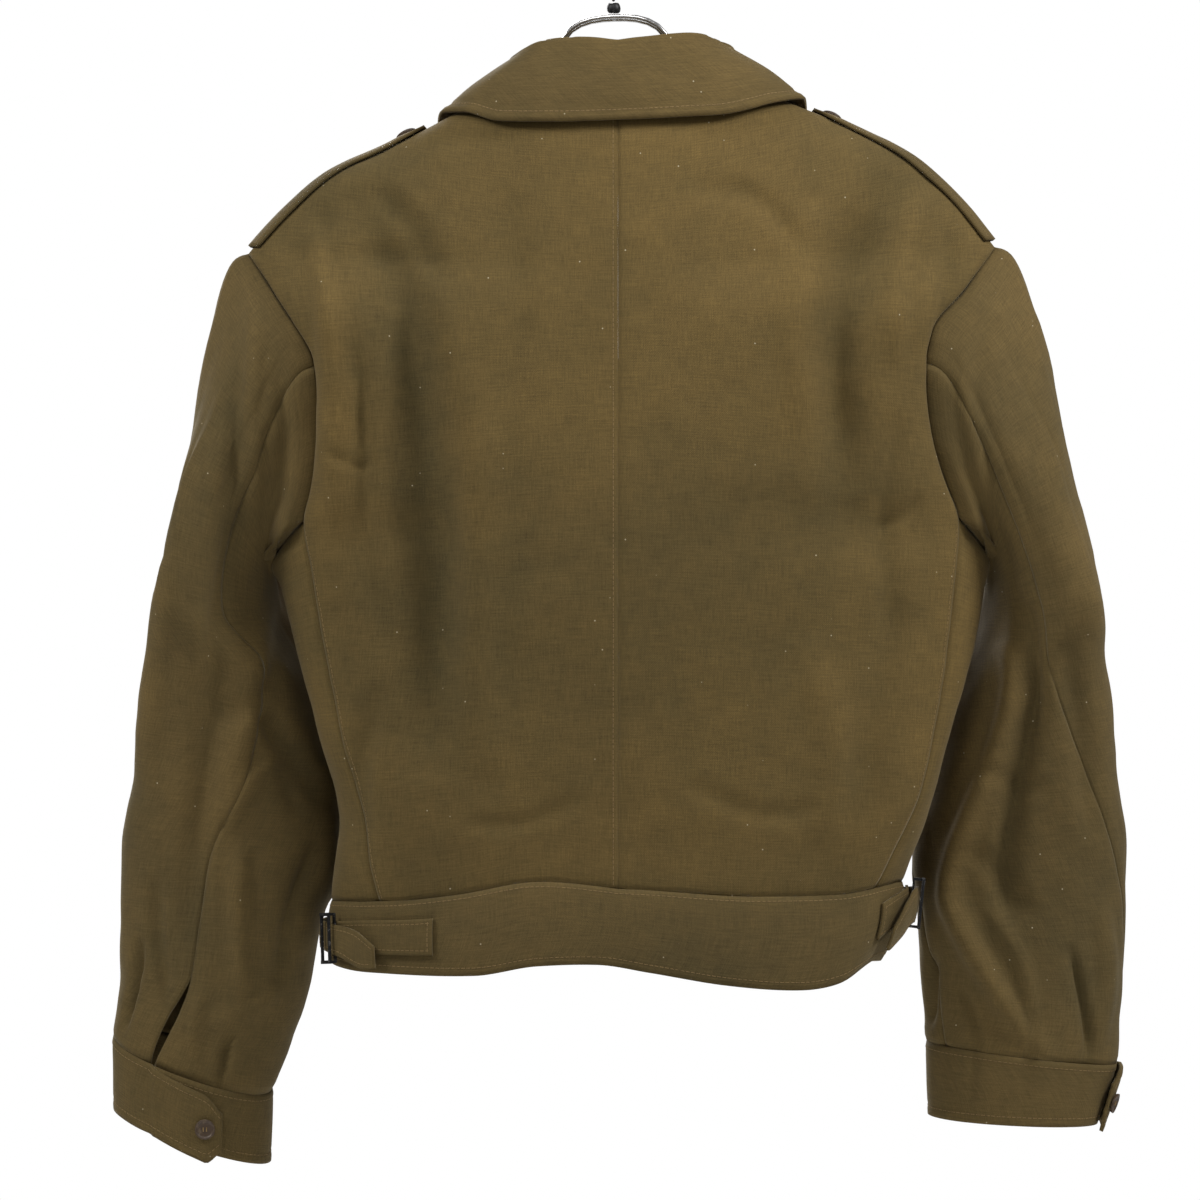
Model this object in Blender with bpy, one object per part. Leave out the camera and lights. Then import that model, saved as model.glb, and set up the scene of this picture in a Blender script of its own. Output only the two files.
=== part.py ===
# Short battledress jacket hanging on a wire hanger, all sizes in millimetres until the meshes are made
# X runs to the wearer's left, the back of the jacket faces +Y, Z is up, the origin is where the hook hangs
import math

import bmesh
import bpy
import numpy as np

MM = 0.001
SEAM_GAP = 0.3
WOOL = 2.0
FOLDED_WOOL = 2.4
STRAP_WOOL = 1.8
HANG_SHIFT = -5.0

# Grid counts of the main pieces
BACK_COLUMNS = 12
FRONT_COLUMNS = 9
SIDE_COLUMNS = 5
PIT_ROW = 13
SHOULDER_ROW = 21
NECK_ROW = 28
ELBOW_ROW = 18
FOREARM_ROW = 14
SLEEVE_ROWS = 20

# Where the left front laps over the right one
LAP_LIFT = 4.4
LAP_EASE = 16.0


class Chart:
    # A short table read as smooth curves over its first column

    def __init__(self, names, *rows):
        data = np.array(rows, float)
        self.names = names.split()[1:]
        self.keys = data[:, 0]
        self.values = data[:, 1:]
        self.slopes = self.gentle_slopes()

    def gentle_slopes(self):
        steps = np.diff(self.keys)[:, None]
        rises = np.diff(self.values, axis=0) / steps
        slopes = np.zeros_like(self.values)
        slopes[0] = rises[0]
        slopes[-1] = rises[-1]
        for i in range(1, len(self.keys) - 1):
            before, after = rises[i - 1], rises[i]
            same = before * after > 0
            weight = steps[i - 1] + steps[i]
            mean = (before * steps[i] + after * steps[i - 1]) / weight
            limit = 2.6 * np.minimum(abs(before), abs(after))
            slopes[i] = np.where(same, np.clip(mean, -limit, limit), mean * 0.35)
        return slopes

    def at(self, key):
        last = len(self.keys) - 2
        i = int(np.clip(np.searchsorted(self.keys, key, side="right") - 1, 0, last))
        step = self.keys[i + 1] - self.keys[i]
        t = min(max((key - self.keys[i]) / step, 0.0), 1.0)
        a = (1 + 2 * t) * (1 - t) ** 2
        b = t * (1 - t) ** 2 * step
        c = t * t * (3 - 2 * t)
        d = t * t * (t - 1) * step
        return a * self.values[i] + b * self.slopes[i] + c * self.values[i + 1] + d * self.slopes[i + 1]


def ease(t):
    t = min(max(t, 0.0), 1.0)
    return t * t * (3 - 2 * t)


# Edge rails of the body, x measured outward from the centre back seam
# turn is how far the cloth has swung round at the rail, pull how far it keeps that heading
CENTRE_BACK = Chart("row y z pull",
    (0, 70, -628, 62),
    (5, 77, -535, 66),
    (10, 82, -442, 70),
    (15, 78, -348, 70),
    (21, 64, -238, 66),
    (25, 50, -178, 56),
    (28, 37, -133, 44))

BACK_RAIL = {
    "left": Chart("row x y z turn pull",
        (0, 150, 46, -634, 34, 48),
        (3, 163, 47, -579, 44, 46),
        (6, 175, 45, -522, 42, 48),
        (9, 186, 41, -466, 38, 48),
        (11, 192, 38, -428, 42, 44),
        (13, 197, 33, -397, 54, 40),
        (14, 191, 35, -378, 76, 36),
        (16, 185, 39, -342, 99, 34),
        (18, 189, 42, -300, 96, 34),
        (20, 215, 24, -256, 84, 40),
        (21, 233, -7, -228, 86, 46)),
    "right": Chart("row x y z turn pull",
        (0, 162, 42, -630, 50, 48),
        (3, 186, 44, -579, 52, 46),
        (6, 200, 43, -522, 46, 48),
        (9, 208, 40, -466, 40, 50),
        (11, 212, 38, -428, 42, 46),
        (13, 214, 33, -395, 54, 42),
        (14, 207, 36, -376, 78, 38),
        (16, 196, 40, -342, 99, 34),
        (18, 193, 42, -298, 96, 34),
        (20, 218, 24, -252, 84, 40),
        (21, 238, -7, -224, 86, 46))}

SHOULDER_RAIL = {
    "left": Chart("row x y z turn pull",
        (21, 233, -7, -228, 86, 46),
        (22, 212, -6, -205, 88, 42),
        (23, 190, -5, -185, 90, 38),
        (25, 145, -4, -162, 90, 36),
        (28, 80, -2, -129, 92, 28)),
    "right": Chart("row x y z turn pull",
        (21, 238, -7, -224, 86, 46),
        (22, 216, -6, -197, 88, 42),
        (23, 193, -5, -175, 90, 38),
        (25, 147, -4, -150, 90, 36),
        (28, 82, -2, -123, 92, 28))}

CENTRE_FRONT = Chart("row x y z pull",
    (0, -15, -66, -628, 60),
    (5, -15, -74, -535, 64),
    (10, -15, -78, -442, 66),
    (14, -15, -77, -366, 64),
    (16, -14, -75, -330, 60),
    (20, 12, -68, -272, 52),
    (24, 38, -56, -222, 40),
    (28, 60, -42, -178, 26))

FRONT_RAIL = {
    "left": Chart("row x y z turn pull",
        (0, 148, -50, -634, 38, 46),
        (3, 152, -54, -579, 44, 44),
        (6, 150, -54, -522, 44, 40),
        (9, 158, -51, -466, 46, 38),
        (11, 171, -48, -428, 50, 36),
        (13, 190, -42, -397, 58, 36),
        (14, 187, -44, -378, 72, 36),
        (16, 184, -49, -342, 92, 34),
        (18, 190, -52, -300, 92, 34),
        (20, 215, -35, -256, 84, 38),
        (21, 233, -7, -228, 88, 42)),
    "right": Chart("row x y z turn pull",
        (0, 156, -50, -630, 42, 46),
        (3, 168, -54, -579, 46, 44),
        (6, 164, -54, -522, 46, 40),
        (9, 174, -51, -466, 46, 38),
        (11, 187, -48, -428, 50, 36),
        (13, 205, -42, -395, 58, 36),
        (14, 204, -43, -376, 72, 36),
        (16, 194, -49, -342, 92, 34),
        (18, 194, -52, -298, 92, 34),
        (20, 218, -35, -252, 84, 38),
        (21, 238, -7, -224, 88, 42))}

FRONT_SHOULDER = {
    "left": Chart("row x y z turn pull",
        (21, 233, -7, -228, 88, 42),
        (22, 212, -6, -205, 88, 40),
        (23, 190, -5, -185, 90, 38),
        (25, 145, -4, -162, 90, 34),
        (28, 80, -2, -129, 88, 22)),
    "right": Chart("row x y z turn pull",
        (21, 238, -7, -224, 88, 42),
        (22, 216, -6, -197, 88, 40),
        (23, 193, -5, -175, 90, 38),
        (25, 147, -4, -150, 90, 34),
        (28, 82, -2, -123, 88, 22))}

# How far the side panel bows out past its two seams, and how far its rows dip to the pit
SIDE_BOW = {
    "left": Chart("row back front dip",
        (0, 54, 50, 0),
        (3, 30, 40, 0),
        (6, 42, 46, -2),
        (9, 52, 44, -8),
        (11, 54, 46, -18),
        (13, 54, 50, -32)),
    "right": Chart("row back front dip",
        (0, 34, 46, 0),
        (3, 28, 42, 0),
        (6, 40, 48, -2),
        (9, 52, 52, -8),
        (11, 52, 52, -18),
        (13, 52, 54, -32))}

# Height of the waist seam and of the hem across the back, x to the wearer's left
WAIST_LINE = Chart("x z",
    (-175, -629), (-140, -635), (-92, -635), (-6, -628), (51, -624), (99, -631), (150, -636), (185, -637))
HEM_LINE = Chart("x z",
    (-175, -672), (-140, -687), (-116, -691), (-68, -688), (-20, -680), (13, -675),
    (51, -676), (90, -682), (147, -681), (175, -678), (190, -668))

FRONT_HEM = -676.0

# Folds of the cloth, each a line of x z points, how wide to each side and how deep or high
BACK_FOLDS = (
    dict(line=((168, -190), (146, -234), (130, -284), (118, -353), (111, -447), (118, -541)),
         wide=27, high=-8.5),
    dict(line=((182, -209), (171, -322), (182, -397), (178, -452)), wide=19, high=5.0),
    dict(line=((-186, -175), (-158, -216), (-142, -259), (-136, -309), (-146, -380)), wide=25, high=-7.0),
    dict(line=((-211, -206), (-206, -262), (-199, -300)), wide=12, high=-4.5),
    dict(line=((124, -159), (92, -157), (61, -154)), wide=9, high=-2.0),
    dict(line=((-45, -184), (-76, -203)), wide=12, high=-1.5),
    dict(line=((-178, -445), (-160, -520), (-152, -590)), wide=24, high=-4.5))

FRONT_FOLDS = (
    dict(line=((160, -200), (150, -262), (141, -330), (150, -420)), wide=24, high=-4.5),
    dict(line=((-172, -190), (-150, -250), (-138, -320), (-150, -410)), wide=23, high=-4.0),
    dict(line=((150, -470), (128, -540), (120, -600)), wide=20, high=-3.0),
    dict(line=((-158, -455), (-130, -530), (-125, -596)), wide=21, high=-3.4))

SLEEVE_FOLDS = {
    "left": (
        dict(line=((240, -262), (239, -322), (241, -372), (245, -422), (256, -509), (266, -603),
                   (272, -666)), wide=15, high=-6.5),
        dict(line=((222, -430), (227, -472), (233, -522), (248, -572)), wide=12, high=4.0),
        dict(line=((226, -517), (204, -545), (184, -585)), wide=11, high=-6.0),
        dict(line=((301, -659), (305, -697), (311, -722)), wide=5, high=-2.5),
        dict(line=((246, -722), (252, -758)), wide=5, high=-2.5),
        dict(line=((214, -690), (232, -706), (258, -712)), wide=9, high=2.5)),
    "right": (
        dict(line=((-245, -472), (-250, -500), (-242, -534), (-229, -572), (-211, -622), (-217, -653),
                   (-245, -703), (-276, -741)), wide=13, high=5.0),
        dict(line=((-258, -447), (-262, -509), (-250, -572), (-245, -622), (-253, -656)), wide=13, high=-5.5),
        dict(line=((-201, -672), (-198, -719)), wide=4, high=-2.0),
        dict(line=((-286, -666), (-298, -722), (-294, -744)), wide=6, high=-2.5))}

SLEEVE_FRONT_FOLDS = {
    "left": (
        dict(line=((262, -300), (268, -372), (262, -450), (250, -520)), wide=15, high=-5.0),
        dict(line=((232, -500), (262, -528), (292, -540)), wide=10, high=-4.0),
        dict(line=((262, -560), (250, -620), (262, -690)), wide=14, high=-4.5)),
    "right": (
        dict(line=((-268, -300), (-280, -372), (-272, -450), (-262, -520)), wide=15, high=-5.0),
        dict(line=((-240, -506), (-268, -532), (-304, -540)), wide=10, high=-4.0),
        dict(line=((-270, -570), (-262, -640), (-272, -700)), wide=14, high=-4.5))}

# Sleeve rings below the armhole: centre, half sizes, how far they slope, seam angles from outward to back
SLEEVE_RINGS = {
    "left": Chart("row x y z across deep rise lean swing elbow forearm",
        (6, 249, -26, -450, 30, 70, 0.20, -0.04, 0.36, 136, 250),
        (8, 243, -32, -490, 45, 64, 0.18, -0.04, 0.38, 140, 246),
        (10, 241, -36, -528, 56, 58, 0.16, -0.04, 0.34, 122, 242),
        (12, 243, -38, -566, 62, 52, 0.12, -0.03, 0.22, 103, 238),
        (14, 247, -41, -606, 67, 48, 0.06, -0.02, 0.10, 87, 230),
        (16, 252, -41, -650, 63, 44, 0.04, -0.04, 0.0, 80, 228),
        (18, 257, -39, -692, 58, 41, 0.14, -0.12, 0.0, 77, 226),
        (20, 270, -36, -740, 50, 37, 0.34, -0.28, 0.0, 64, 214)),
    "right": Chart("row x y z across deep rise lean swing elbow forearm",
        (6, 263, -26, -450, 30, 70, 0.20, -0.04, 0.36, 125, 250),
        (8, 257, -32, -490, 43, 64, 0.18, -0.04, 0.38, 101, 236),
        (10, 255, -36, -528, 53, 58, 0.14, -0.04, 0.34, 81, 216),
        (12, 256, -38, -566, 59, 52, 0.10, -0.03, 0.22, 57, 202),
        (14, 257, -41, -606, 65, 47, 0.04, -0.02, 0.10, 37, 186),
        (16, 257, -42, -650, 65, 43, 0.00, -0.04, 0.0, 10, 164),
        (18, 257, -41, -690, 63, 39, -0.06, -0.06, 0.0, -4, 150),
        (20, 257, -38, -734, 60, 35, -0.12, -0.08, 0.0, -10, 144))}

# Cuffs: the ring of the bottom edge like a sleeve ring, and how far the buttoned end laps and droops
CUFF_RINGS = {
    "left": dict(ring=((270, -36, -786), 49, 36, 0.34, -0.2, 0.0), lap=34, droop=9),
    "right": dict(ring=((251, -38, -776), 53, 31, -0.05, -0.12, 0.0), lap=30, droop=6)}

# Collar: fold and outer edge from the centre back (0) past the shoulder (12) to the front end (21)
COLLAR_SHAPE = {
    "left": Chart("column fold_x fold_y fold_z edge_x edge_y edge_z",
        (0, 0, 33, -96, 0, 46.5, -146),
        (4, 26, 31, -94, 38, 45, -147),
        (8, 50, 24, -97, 76, 37, -146),
        (10, 61, 14, -102, 96, 24, -140),
        (12, 68, 0, -108, 111, 0, -139),
        (15, 68, -20, -126, 114, -30, -150),
        (18, 62, -36, -148, 106, -52, -173),
        (21, 56, -46, -172, 92, -61, -196)),
    "right": Chart("column fold_x fold_y fold_z edge_x edge_y edge_z",
        (0, 0, 33, -96, 0, 46.5, -146),
        (4, 26, 31, -93, 40, 45, -144),
        (8, 52, 24, -92, 78, 37, -140),
        (10, 65, 14, -96, 101, 24, -133),
        (12, 73, 0, -101, 118, 0, -130),
        (15, 71, -20, -120, 119, -30, -146),
        (18, 64, -36, -145, 108, -52, -170),
        (21, 56, -46, -172, 92, -61, -196))}

# Lapels: row of the front and how far the turned cloth reaches out from the roll line
LAPEL_SHAPE = ((16.3, 3), (18, 24), (20, 44), (22, 62), (23.4, 74), (25, 48), (26.6, 8))
LAPEL_START = {"left": 16.3, "right": 17.5}
LAPEL_INNER = {"left": ((16, 0), (27, 0)), "right": ((17.5, 14), (18.3, 9), (19.2, 4), (20, 0))}
LAPEL_END = 26.6

# Shoulder straps: reach over the back and the front of the ridge along the rows of the shoulder
STRAP_SHAPE = ((21.1, 15, 35), (24.4, 13, 33), (25.5, 11, 31), (26.1, -4, 14))

# Hanger: half of its arch and arm as x z, in the plane of one wire, before it is tilted
HANGER_ARM = ((0, -79), (18, -80), (30, -86), (36, -98), (40, -114), (48, -131), (60, -142), (80, -150),
              (140, -172), (172, -188))
HANGER_DEPTH = 15.0
HANGER_TILT = 1.9
WIRE_RADIUS = 1.8
HOOK_RADIUS = 2.1
HOOK_BEND = 17.0

# Hip straps: steps along each with the reach from the centre back, top, bottom and lift off the band
HIP_PATCH = {
    "left": ((0, 116, 0.26, 0.74, 3.2), (6, 160, 0.26, 0.74, 3.2), (10, 194, 0.30, 0.78, 3.4)),
    "right": ((0, 172, 0.20, 0.66, 3.2), (5, 200, 0.10, 0.56, 3.2), (9, 220, 0.04, 0.50, 3.4))}
HIP_STRAP = {
    "left": ((0, 286, 0.26, 0.70, 2.5), (6, 225, 0.27, 0.72, 3.6), (9, 196, 0.31, 0.76, 7.8),
             (11, 184, 0.33, 0.78, 8.6), (15, 158, 0.50, 0.95, 9.0), (16, 152, 0.62, 0.93, 9.0)),
    "right": ((0, 300, 0.10, 0.54, 2.5), (6, 248, 0.08, 0.53, 3.6), (9, 222, 0.06, 0.52, 9.8),
              (11, 206, 0.08, 0.53, 9.9), (15, 184, 0.40, 0.84, 10.2), (16, 179, 0.54, 0.82, 10.2))}
BUCKLES = {
    "left": dict(reach=186, h=0.55, lift=11.6, turn=2),
    "right": dict(reach=213, h=0.28, lift=12.4, turn=0)}

# Buttons: the piece each is sewn to, its grid row and column there, and its radius
BUTTONS = (
    ("cuff_button_left", "cuff_left", 1, 1, 6.5),
    ("cuff_button_right", "cuff_right", 1, -2, 6.5),
    ("strap_button_left", "shoulder_strap_left", 8, 3, 7.0),
    ("strap_button_right", "shoulder_strap_right", 8, 3, 7.0))

sheets = []
solids = []


def bezier(a, b, c, d, t):
    s = 1 - t
    return s * s * s * a + 3 * s * s * t * b + 3 * s * t * t * c + t * t * t * d


def bezier_slope(a, b, c, d, t):
    s = 1 - t
    return 3 * s * s * (b - a) + 6 * s * t * (c - b) + 3 * t * t * (d - c)


def relief(x, z, folds):
    # Height of the folds at one place, seen along the depth of the jacket
    height = 0.0
    for fold in folds:
        line = fold["line"]
        lengths = [math.dist(line[i], line[i + 1]) for i in range(len(line) - 1)]
        total = sum(lengths)
        passed = 0.0
        best = None
        for i, length in enumerate(lengths):
            ax, az = line[i]
            bx, bz = line[i + 1]
            t = ((x - ax) * (bx - ax) + (z - az) * (bz - az)) / (length * length)
            t = min(max(t, 0.0), 1.0)
            away = math.hypot(x - ax - t * (bx - ax), z - az - t * (bz - az))
            if best is None or away < best[0]:
                best = (away, (passed + t * length) / total)
            passed += length
        away, along = best
        if away < fold["wide"]:
            fade = min(1.0, 4.0 * along, 4.0 * (1 - along)) ** 0.6
            height += fold["high"] * fade * 0.5 * (1 + math.cos(math.pi * away / fold["wide"]))
    return height


def rail_end(rail, shoulder, row):
    values = rail.at(row) if row <= SHOULDER_ROW else shoulder.at(row)
    x, y, z, turn, pull = values
    return np.array([x, y, z]), math.radians(turn), pull


def place(point, side):
    sign = 1 if side == "left" else -1
    return np.array([sign * point[0] + HANG_SHIFT, point[1], point[2]])


def waist_drop(point, side, row):
    sign = 1 if side == "left" else -1
    if row >= 5:
        return 0.0
    level = WAIST_LINE.at(sign * point[0])[0]
    return (level + 628.0 + 6.0 * min(point[0] / 150.0, 1.0)) * (1 - ease(row / 5.0))


def back_point(side, u, row, lift=0.0):
    y, z, pull = CENTRE_BACK.at(row)
    start = np.array([0.0, y, z])
    end, turn, hold = rail_end(BACK_RAIL[side], SHOULDER_RAIL[side], row)
    heading = np.array([math.cos(turn), -math.sin(turn), 0.0])
    pull = min(pull, 0.45 * end[0])
    corners = (start, start + np.array([pull, 0, 0]), end - hold * heading, end)
    point = bezier(*corners, u)
    slope = bezier_slope(*corners, u)
    outward = np.array([-slope[1], slope[0], 0.0])
    outward /= np.linalg.norm(outward)
    sign = 1 if side == "left" else -1
    calm = ease((NECK_ROW - row) / 4.0) * ease(row / 2.5)
    height = relief(sign * point[0], point[2], BACK_FOLDS) * calm
    point = point + outward * (height + lift)
    point[2] += waist_drop(point, side, row)
    return place(point, side)


def front_point(side, u, row, lift=0.0):
    x, y, z, pull = CENTRE_FRONT.at(row)
    start = np.array([x, y, z])
    end, turn, hold = rail_end(FRONT_RAIL[side], FRONT_SHOULDER[side], row)
    heading = np.array([math.cos(turn), math.sin(turn), 0.0])
    pull = min(pull, 0.45 * (end[0] - x))
    corners = (start, start + np.array([pull, 0, 0]), end - hold * heading, end)
    point = bezier(*corners, u)
    slope = bezier_slope(*corners, u)
    outward = np.array([slope[1], -slope[0], 0.0])
    outward /= np.linalg.norm(outward)
    sign = 1 if side == "left" else -1
    calm = ease((NECK_ROW - row) / 4.0) * ease(row / 2.5)
    height = relief(sign * point[0], point[2], FRONT_FOLDS) * calm
    if side == "left":
        height += LAP_LIFT * ease((18.0 + LAP_EASE - point[0]) / LAP_EASE) * ease((22.0 - row) / 4.0)
    point = point + outward * (height + lift)
    point[2] += waist_drop(point, side, row)
    return place(point, side)


def side_point(side, u, row, lift=0.0):
    start, turn, hold = rail_end(BACK_RAIL[side], SHOULDER_RAIL[side], row)
    end, turn_front, hold_front = rail_end(FRONT_RAIL[side], FRONT_SHOULDER[side], row)
    back, front, dip = SIDE_BOW[side].at(row)
    sign = 1 if side == "left" else -1
    calm = ease((NECK_ROW - row) / 4.0) * ease(row / 2.5)
    out_back = np.array([math.sin(turn), math.cos(turn), 0.0])
    out_front = np.array([math.sin(turn_front), -math.cos(turn_front), 0.0])
    start = start + out_back * relief(sign * start[0], start[2], BACK_FOLDS) * calm
    end = end + out_front * relief(sign * end[0], end[2], FRONT_FOLDS) * calm
    one = start + back * np.array([math.cos(turn), -math.sin(turn), 0.0])
    two = end + front * np.array([math.cos(turn_front), math.sin(turn_front), 0.0])
    one[2] += dip
    two[2] += dip
    point = bezier(start, one, two, end, u)
    slope = bezier_slope(start, one, two, end, u)
    outward = np.array([-slope[1], slope[0], 0.0])
    outward /= np.linalg.norm(outward)
    point = point + outward * lift
    point[2] += waist_drop(point, side, row)
    return place(point, side)


def grid(function, columns, rows):
    return np.array([[function(u, row) for u in columns] for row in rows])


def add_sheet(name, points, thick, material, flip=False):
    # A sheet is a grid of cloth middle points, rows upward and columns across
    if flip:
        points = points[:, ::-1]
    sheets.append(dict(name=name, points=points, thick=thick, material=material))


def spread(count):
    return [i / count for i in range(count + 1)]


def armhole_loop(side):
    # From the elbow seam over the shoulder to the forearm seam, then from the elbow seam round the pit
    over = [back_point(side, 1.0, row) for row in range(ELBOW_ROW, SHOULDER_ROW + 1)]
    over += [front_point(side, 1.0, row) for row in range(SHOULDER_ROW - 1, FOREARM_ROW - 1, -1)]
    under = [back_point(side, 1.0, row) for row in range(ELBOW_ROW, PIT_ROW, -1)]
    under += [side_point(side, u, PIT_ROW) for u in spread(SIDE_COLUMNS)]
    under += [front_point(side, 1.0, FOREARM_ROW)]
    return over, under


def subdivide(points, counts):
    fine = []
    for i, count in enumerate(counts):
        for j in range(count):
            fine.append(points[i] + (points[i + 1] - points[i]) * (j / count))
    fine.append(points[-1])
    return fine


OVER_COUNTS = (3, 3, 3, 1, 1, 1, 1, 1, 1, 1)
OVER_COLUMNS = sum(OVER_COUNTS)


def ring_point(centre, across, deep, rise, lean, swing, angle, side):
    out = math.cos(angle)
    back = math.sin(angle)
    power = 0.92
    x = centre[0] + across * math.copysign(abs(out) ** power, out)
    y = centre[1] + deep * math.copysign(abs(back) ** power, back)
    x += swing * (y - centre[1])
    z = centre[2] + rise * (x - centre[0]) + lean * (y - centre[1])
    return place(np.array([x, y, z]), side)


def angle_along(part, share, elbow, forearm):
    if part == "over":
        return math.radians(elbow - share * (360 - forearm + elbow))
    return math.radians(elbow + share * (forearm - elbow))


def column_shares(part):
    if part == "over":
        knots = ((0, 0.0), (9, 0.52), (OVER_COLUMNS, 1.0))
    else:
        knots = ((0, 0.0), (5, 0.40), (10, 0.90), (11, 1.0))
    total = knots[-1][0]
    keys = [k[0] for k in knots]
    values = [k[1] for k in knots]
    return [float(np.interp(i, keys, values)) for i in range(total + 1)]


def vent_open(row):
    # The cuff vent gapes over the last rows of the elbow seam
    return max(0.0, math.sin(math.pi * min(max((row - 17.6) / 2.9, 0.0), 1.0)))


def sleeve_ring(side):
    # One closed grid per sleeve: over the arm from the elbow seam, then back under it
    rings = SLEEVE_RINGS[side]
    over, under = armhole_loop(side)
    top = over[SHOULDER_ROW - ELBOW_ROW][2]
    bottom = min(p[2] for p in under)
    sign = 1 if side == "left" else -1
    fine = subdivide(over, OVER_COUNTS)
    places = [("over", share, root) for share, root in zip(column_shares("over"), fine)]
    places += [("under", share, root) for share, root in zip(column_shares("under"), under)][-2:0:-1]
    columns = []
    for part, share, root in places:
        high = (root[2] - bottom) / (top - bottom)
        push = np.array([sign * 0.85, 0.16 * root[1] / 45.0, -0.35 - 0.1 * high])
        path = [(0, *root), (1, *(root + push * 12))]
        for key, values in zip(rings.keys, rings.values):
            angle = angle_along(part, share, values[8], values[9])
            path.append((key, *ring_point(values[:3], *values[3:8], angle, side)))
        columns.append(Chart("row x y z", *path))
    return np.array([[column.at(row) for column in columns] for row in range(SLEEVE_ROWS + 1)])


def ring_normals(points):
    down = np.gradient(points, axis=0)
    across = np.roll(points, -1, axis=1) - np.roll(points, 1, axis=1)
    normals = np.cross(across, down)
    normals /= np.linalg.norm(normals, axis=2)[:, :, None]
    test = points[10][0] - points[10].mean(axis=0)
    return normals if np.dot(normals[10][0], test) > 0 else -normals


def crease_sleeve(base, side):
    # Folds press the cloth along its own outward normal
    normals = ring_normals(base)
    shaped = base.copy()
    for r in range(1, len(base)):
        settle = ease(r / 3.0) * ease((SLEEVE_ROWS - r + 1.0) / 2.0)
        for c in range(len(base[0])):
            point = base[r][c]
            x = point[0] - HANG_SHIFT
            seen = ease(0.5 + 1.6 * normals[r][c][1])
            height = relief(x, point[2], SLEEVE_FOLDS[side]) * seen
            height += relief(x, point[2], SLEEVE_FRONT_FOLDS[side]) * (1 - seen)
            shaped[r][c] = point + normals[r][c] * height * settle
    return shaped


def open_vent(points):
    # The upper sleeve stands away from the elbow seam above the cuff
    normals = ring_normals(points)
    opened = points.copy()
    for r in range(len(points)):
        for c in range(5):
            share = vent_open(r) * (1 - c / 5.0) ** 1.5
            toward = points[r][5] - points[r][0]
            toward /= np.linalg.norm(toward)
            opened[r][c] = points[r][c] + (toward * 6.0 + normals[r][c] * 3.0) * share
    return opened


def build_body():
    for side in ("left", "right"):
        flip = side == "right"
        rows = range(NECK_ROW + 1)
        back = grid(lambda u, r: back_point(side, u, r), spread(BACK_COLUMNS), rows)
        add_sheet("back_" + side, back, WOOL, "wool", flip)
        flank = grid(lambda u, r: side_point(side, u, r), spread(SIDE_COLUMNS), range(PIT_ROW + 1))
        add_sheet("side_" + side, flank, WOOL, "wool", flip)
        front = grid(lambda u, r: front_point(side, 1 - u, r), spread(FRONT_COLUMNS), rows)
        add_sheet("front_" + side, front, WOOL, "wool", flip)


def build_sleeves():
    for side in ("left", "right"):
        ring = crease_sleeve(sleeve_ring(side), side)
        opened = open_vent(ring)
        over = opened[:, :OVER_COLUMNS + 1]
        under = np.concatenate([ring[:, :1], ring[:, :OVER_COLUMNS - 1:-1]], axis=1)
        mirrored = side == "right"
        add_sheet("upper_sleeve_" + side, over[::-1], WOOL, "wool", mirrored)
        add_sheet("under_sleeve_" + side, under[::-1], WOOL, "wool", not mirrored)
        build_cuff(side, over[-1], under[-1])


def build_cuff(side, over, under):
    # A band round the wrist that keeps the sleeve's points at its seam, one end lapped over the other
    shape = CUFF_RINGS[side]
    last = SLEEVE_RINGS[side].values[-1]
    elbow, forearm = last[8], last[9]
    tops = list(over) + list(under[-2::-1])
    angles = [angle_along("over", share, elbow, forearm) for share in column_shares("over")]
    angles += [angle_along("under", share, elbow, forearm) for share in column_shares("under")][-2::-1]
    middle = np.mean(tops, axis=0)
    columns = []
    radius = 0.5 * (last[3] + last[4])
    for k in (4, 3, 2, 1):
        angle = angles[0] + k / 4 * shape["lap"] / radius
        top = ring_point(last[:3], *last[3:8], angle, side)
        bottom = ring_point(*shape["ring"], angle, side)
        outward = top - middle
        outward[2] = 0
        outward /= np.linalg.norm(outward)
        shift = outward * (3.4 + 0.5 * k) + np.array([0, 0, -shape["droop"] * k / 4])
        point_end = 0.16 if k == 4 else 0.0
        high, low = top + shift, bottom + shift
        columns.append((high + (low - high) * point_end, low + (high - low) * point_end * 1.6))
    for top, angle in zip(tops, angles):
        bottom = ring_point(*shape["ring"], angle, side)
        away = ease(1 - (len(columns) - 4) / 3.0) * 2.0
        outward = top - middle
        outward[2] = 0
        bottom = bottom + outward / np.linalg.norm(outward) * away
        columns.append((top, bottom))
    rows = []
    for h in (1.0, 0.5, 0.0):
        rows.append([top + (bottom - top) * h for top, bottom in columns])
    add_sheet("cuff_" + side, np.array(rows), FOLDED_WOOL, "wool", side == "right")


def band_drop(point, h, lap=0.0):
    # A place h of the way down the waistband under one point of the waist seam
    x = point[0] - HANG_SHIFT
    back = ease((point[1] + 40) / 80.0)
    hem = HEM_LINE.at(x)[0] * back + FRONT_HEM * (1 - back)
    curl = ease((-x - 125) / 60.0) * 15.0
    bow = 1.5 * math.sin(math.pi * h)
    outward = np.array([point[0], 2.2 * point[1], 0.0])
    outward /= np.linalg.norm(outward)
    low = point + np.array([curl * h * h, 0.0, (hem - point[2]) * h])
    return low + outward * bow


def band_ring():
    # Points of the waist seam from the right front seam round the back to the left front seam
    ring = [side_point("right", 1 - u, 0) for u in spread(SIDE_COLUMNS)]
    ring += [back_point("right", 1 - u, 0) for u in spread(BACK_COLUMNS)][1:]
    ring += [back_point("left", u, 0) for u in spread(BACK_COLUMNS)][1:]
    ring += [side_point("left", u, 0) for u in spread(SIDE_COLUMNS)][1:]
    return ring


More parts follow.
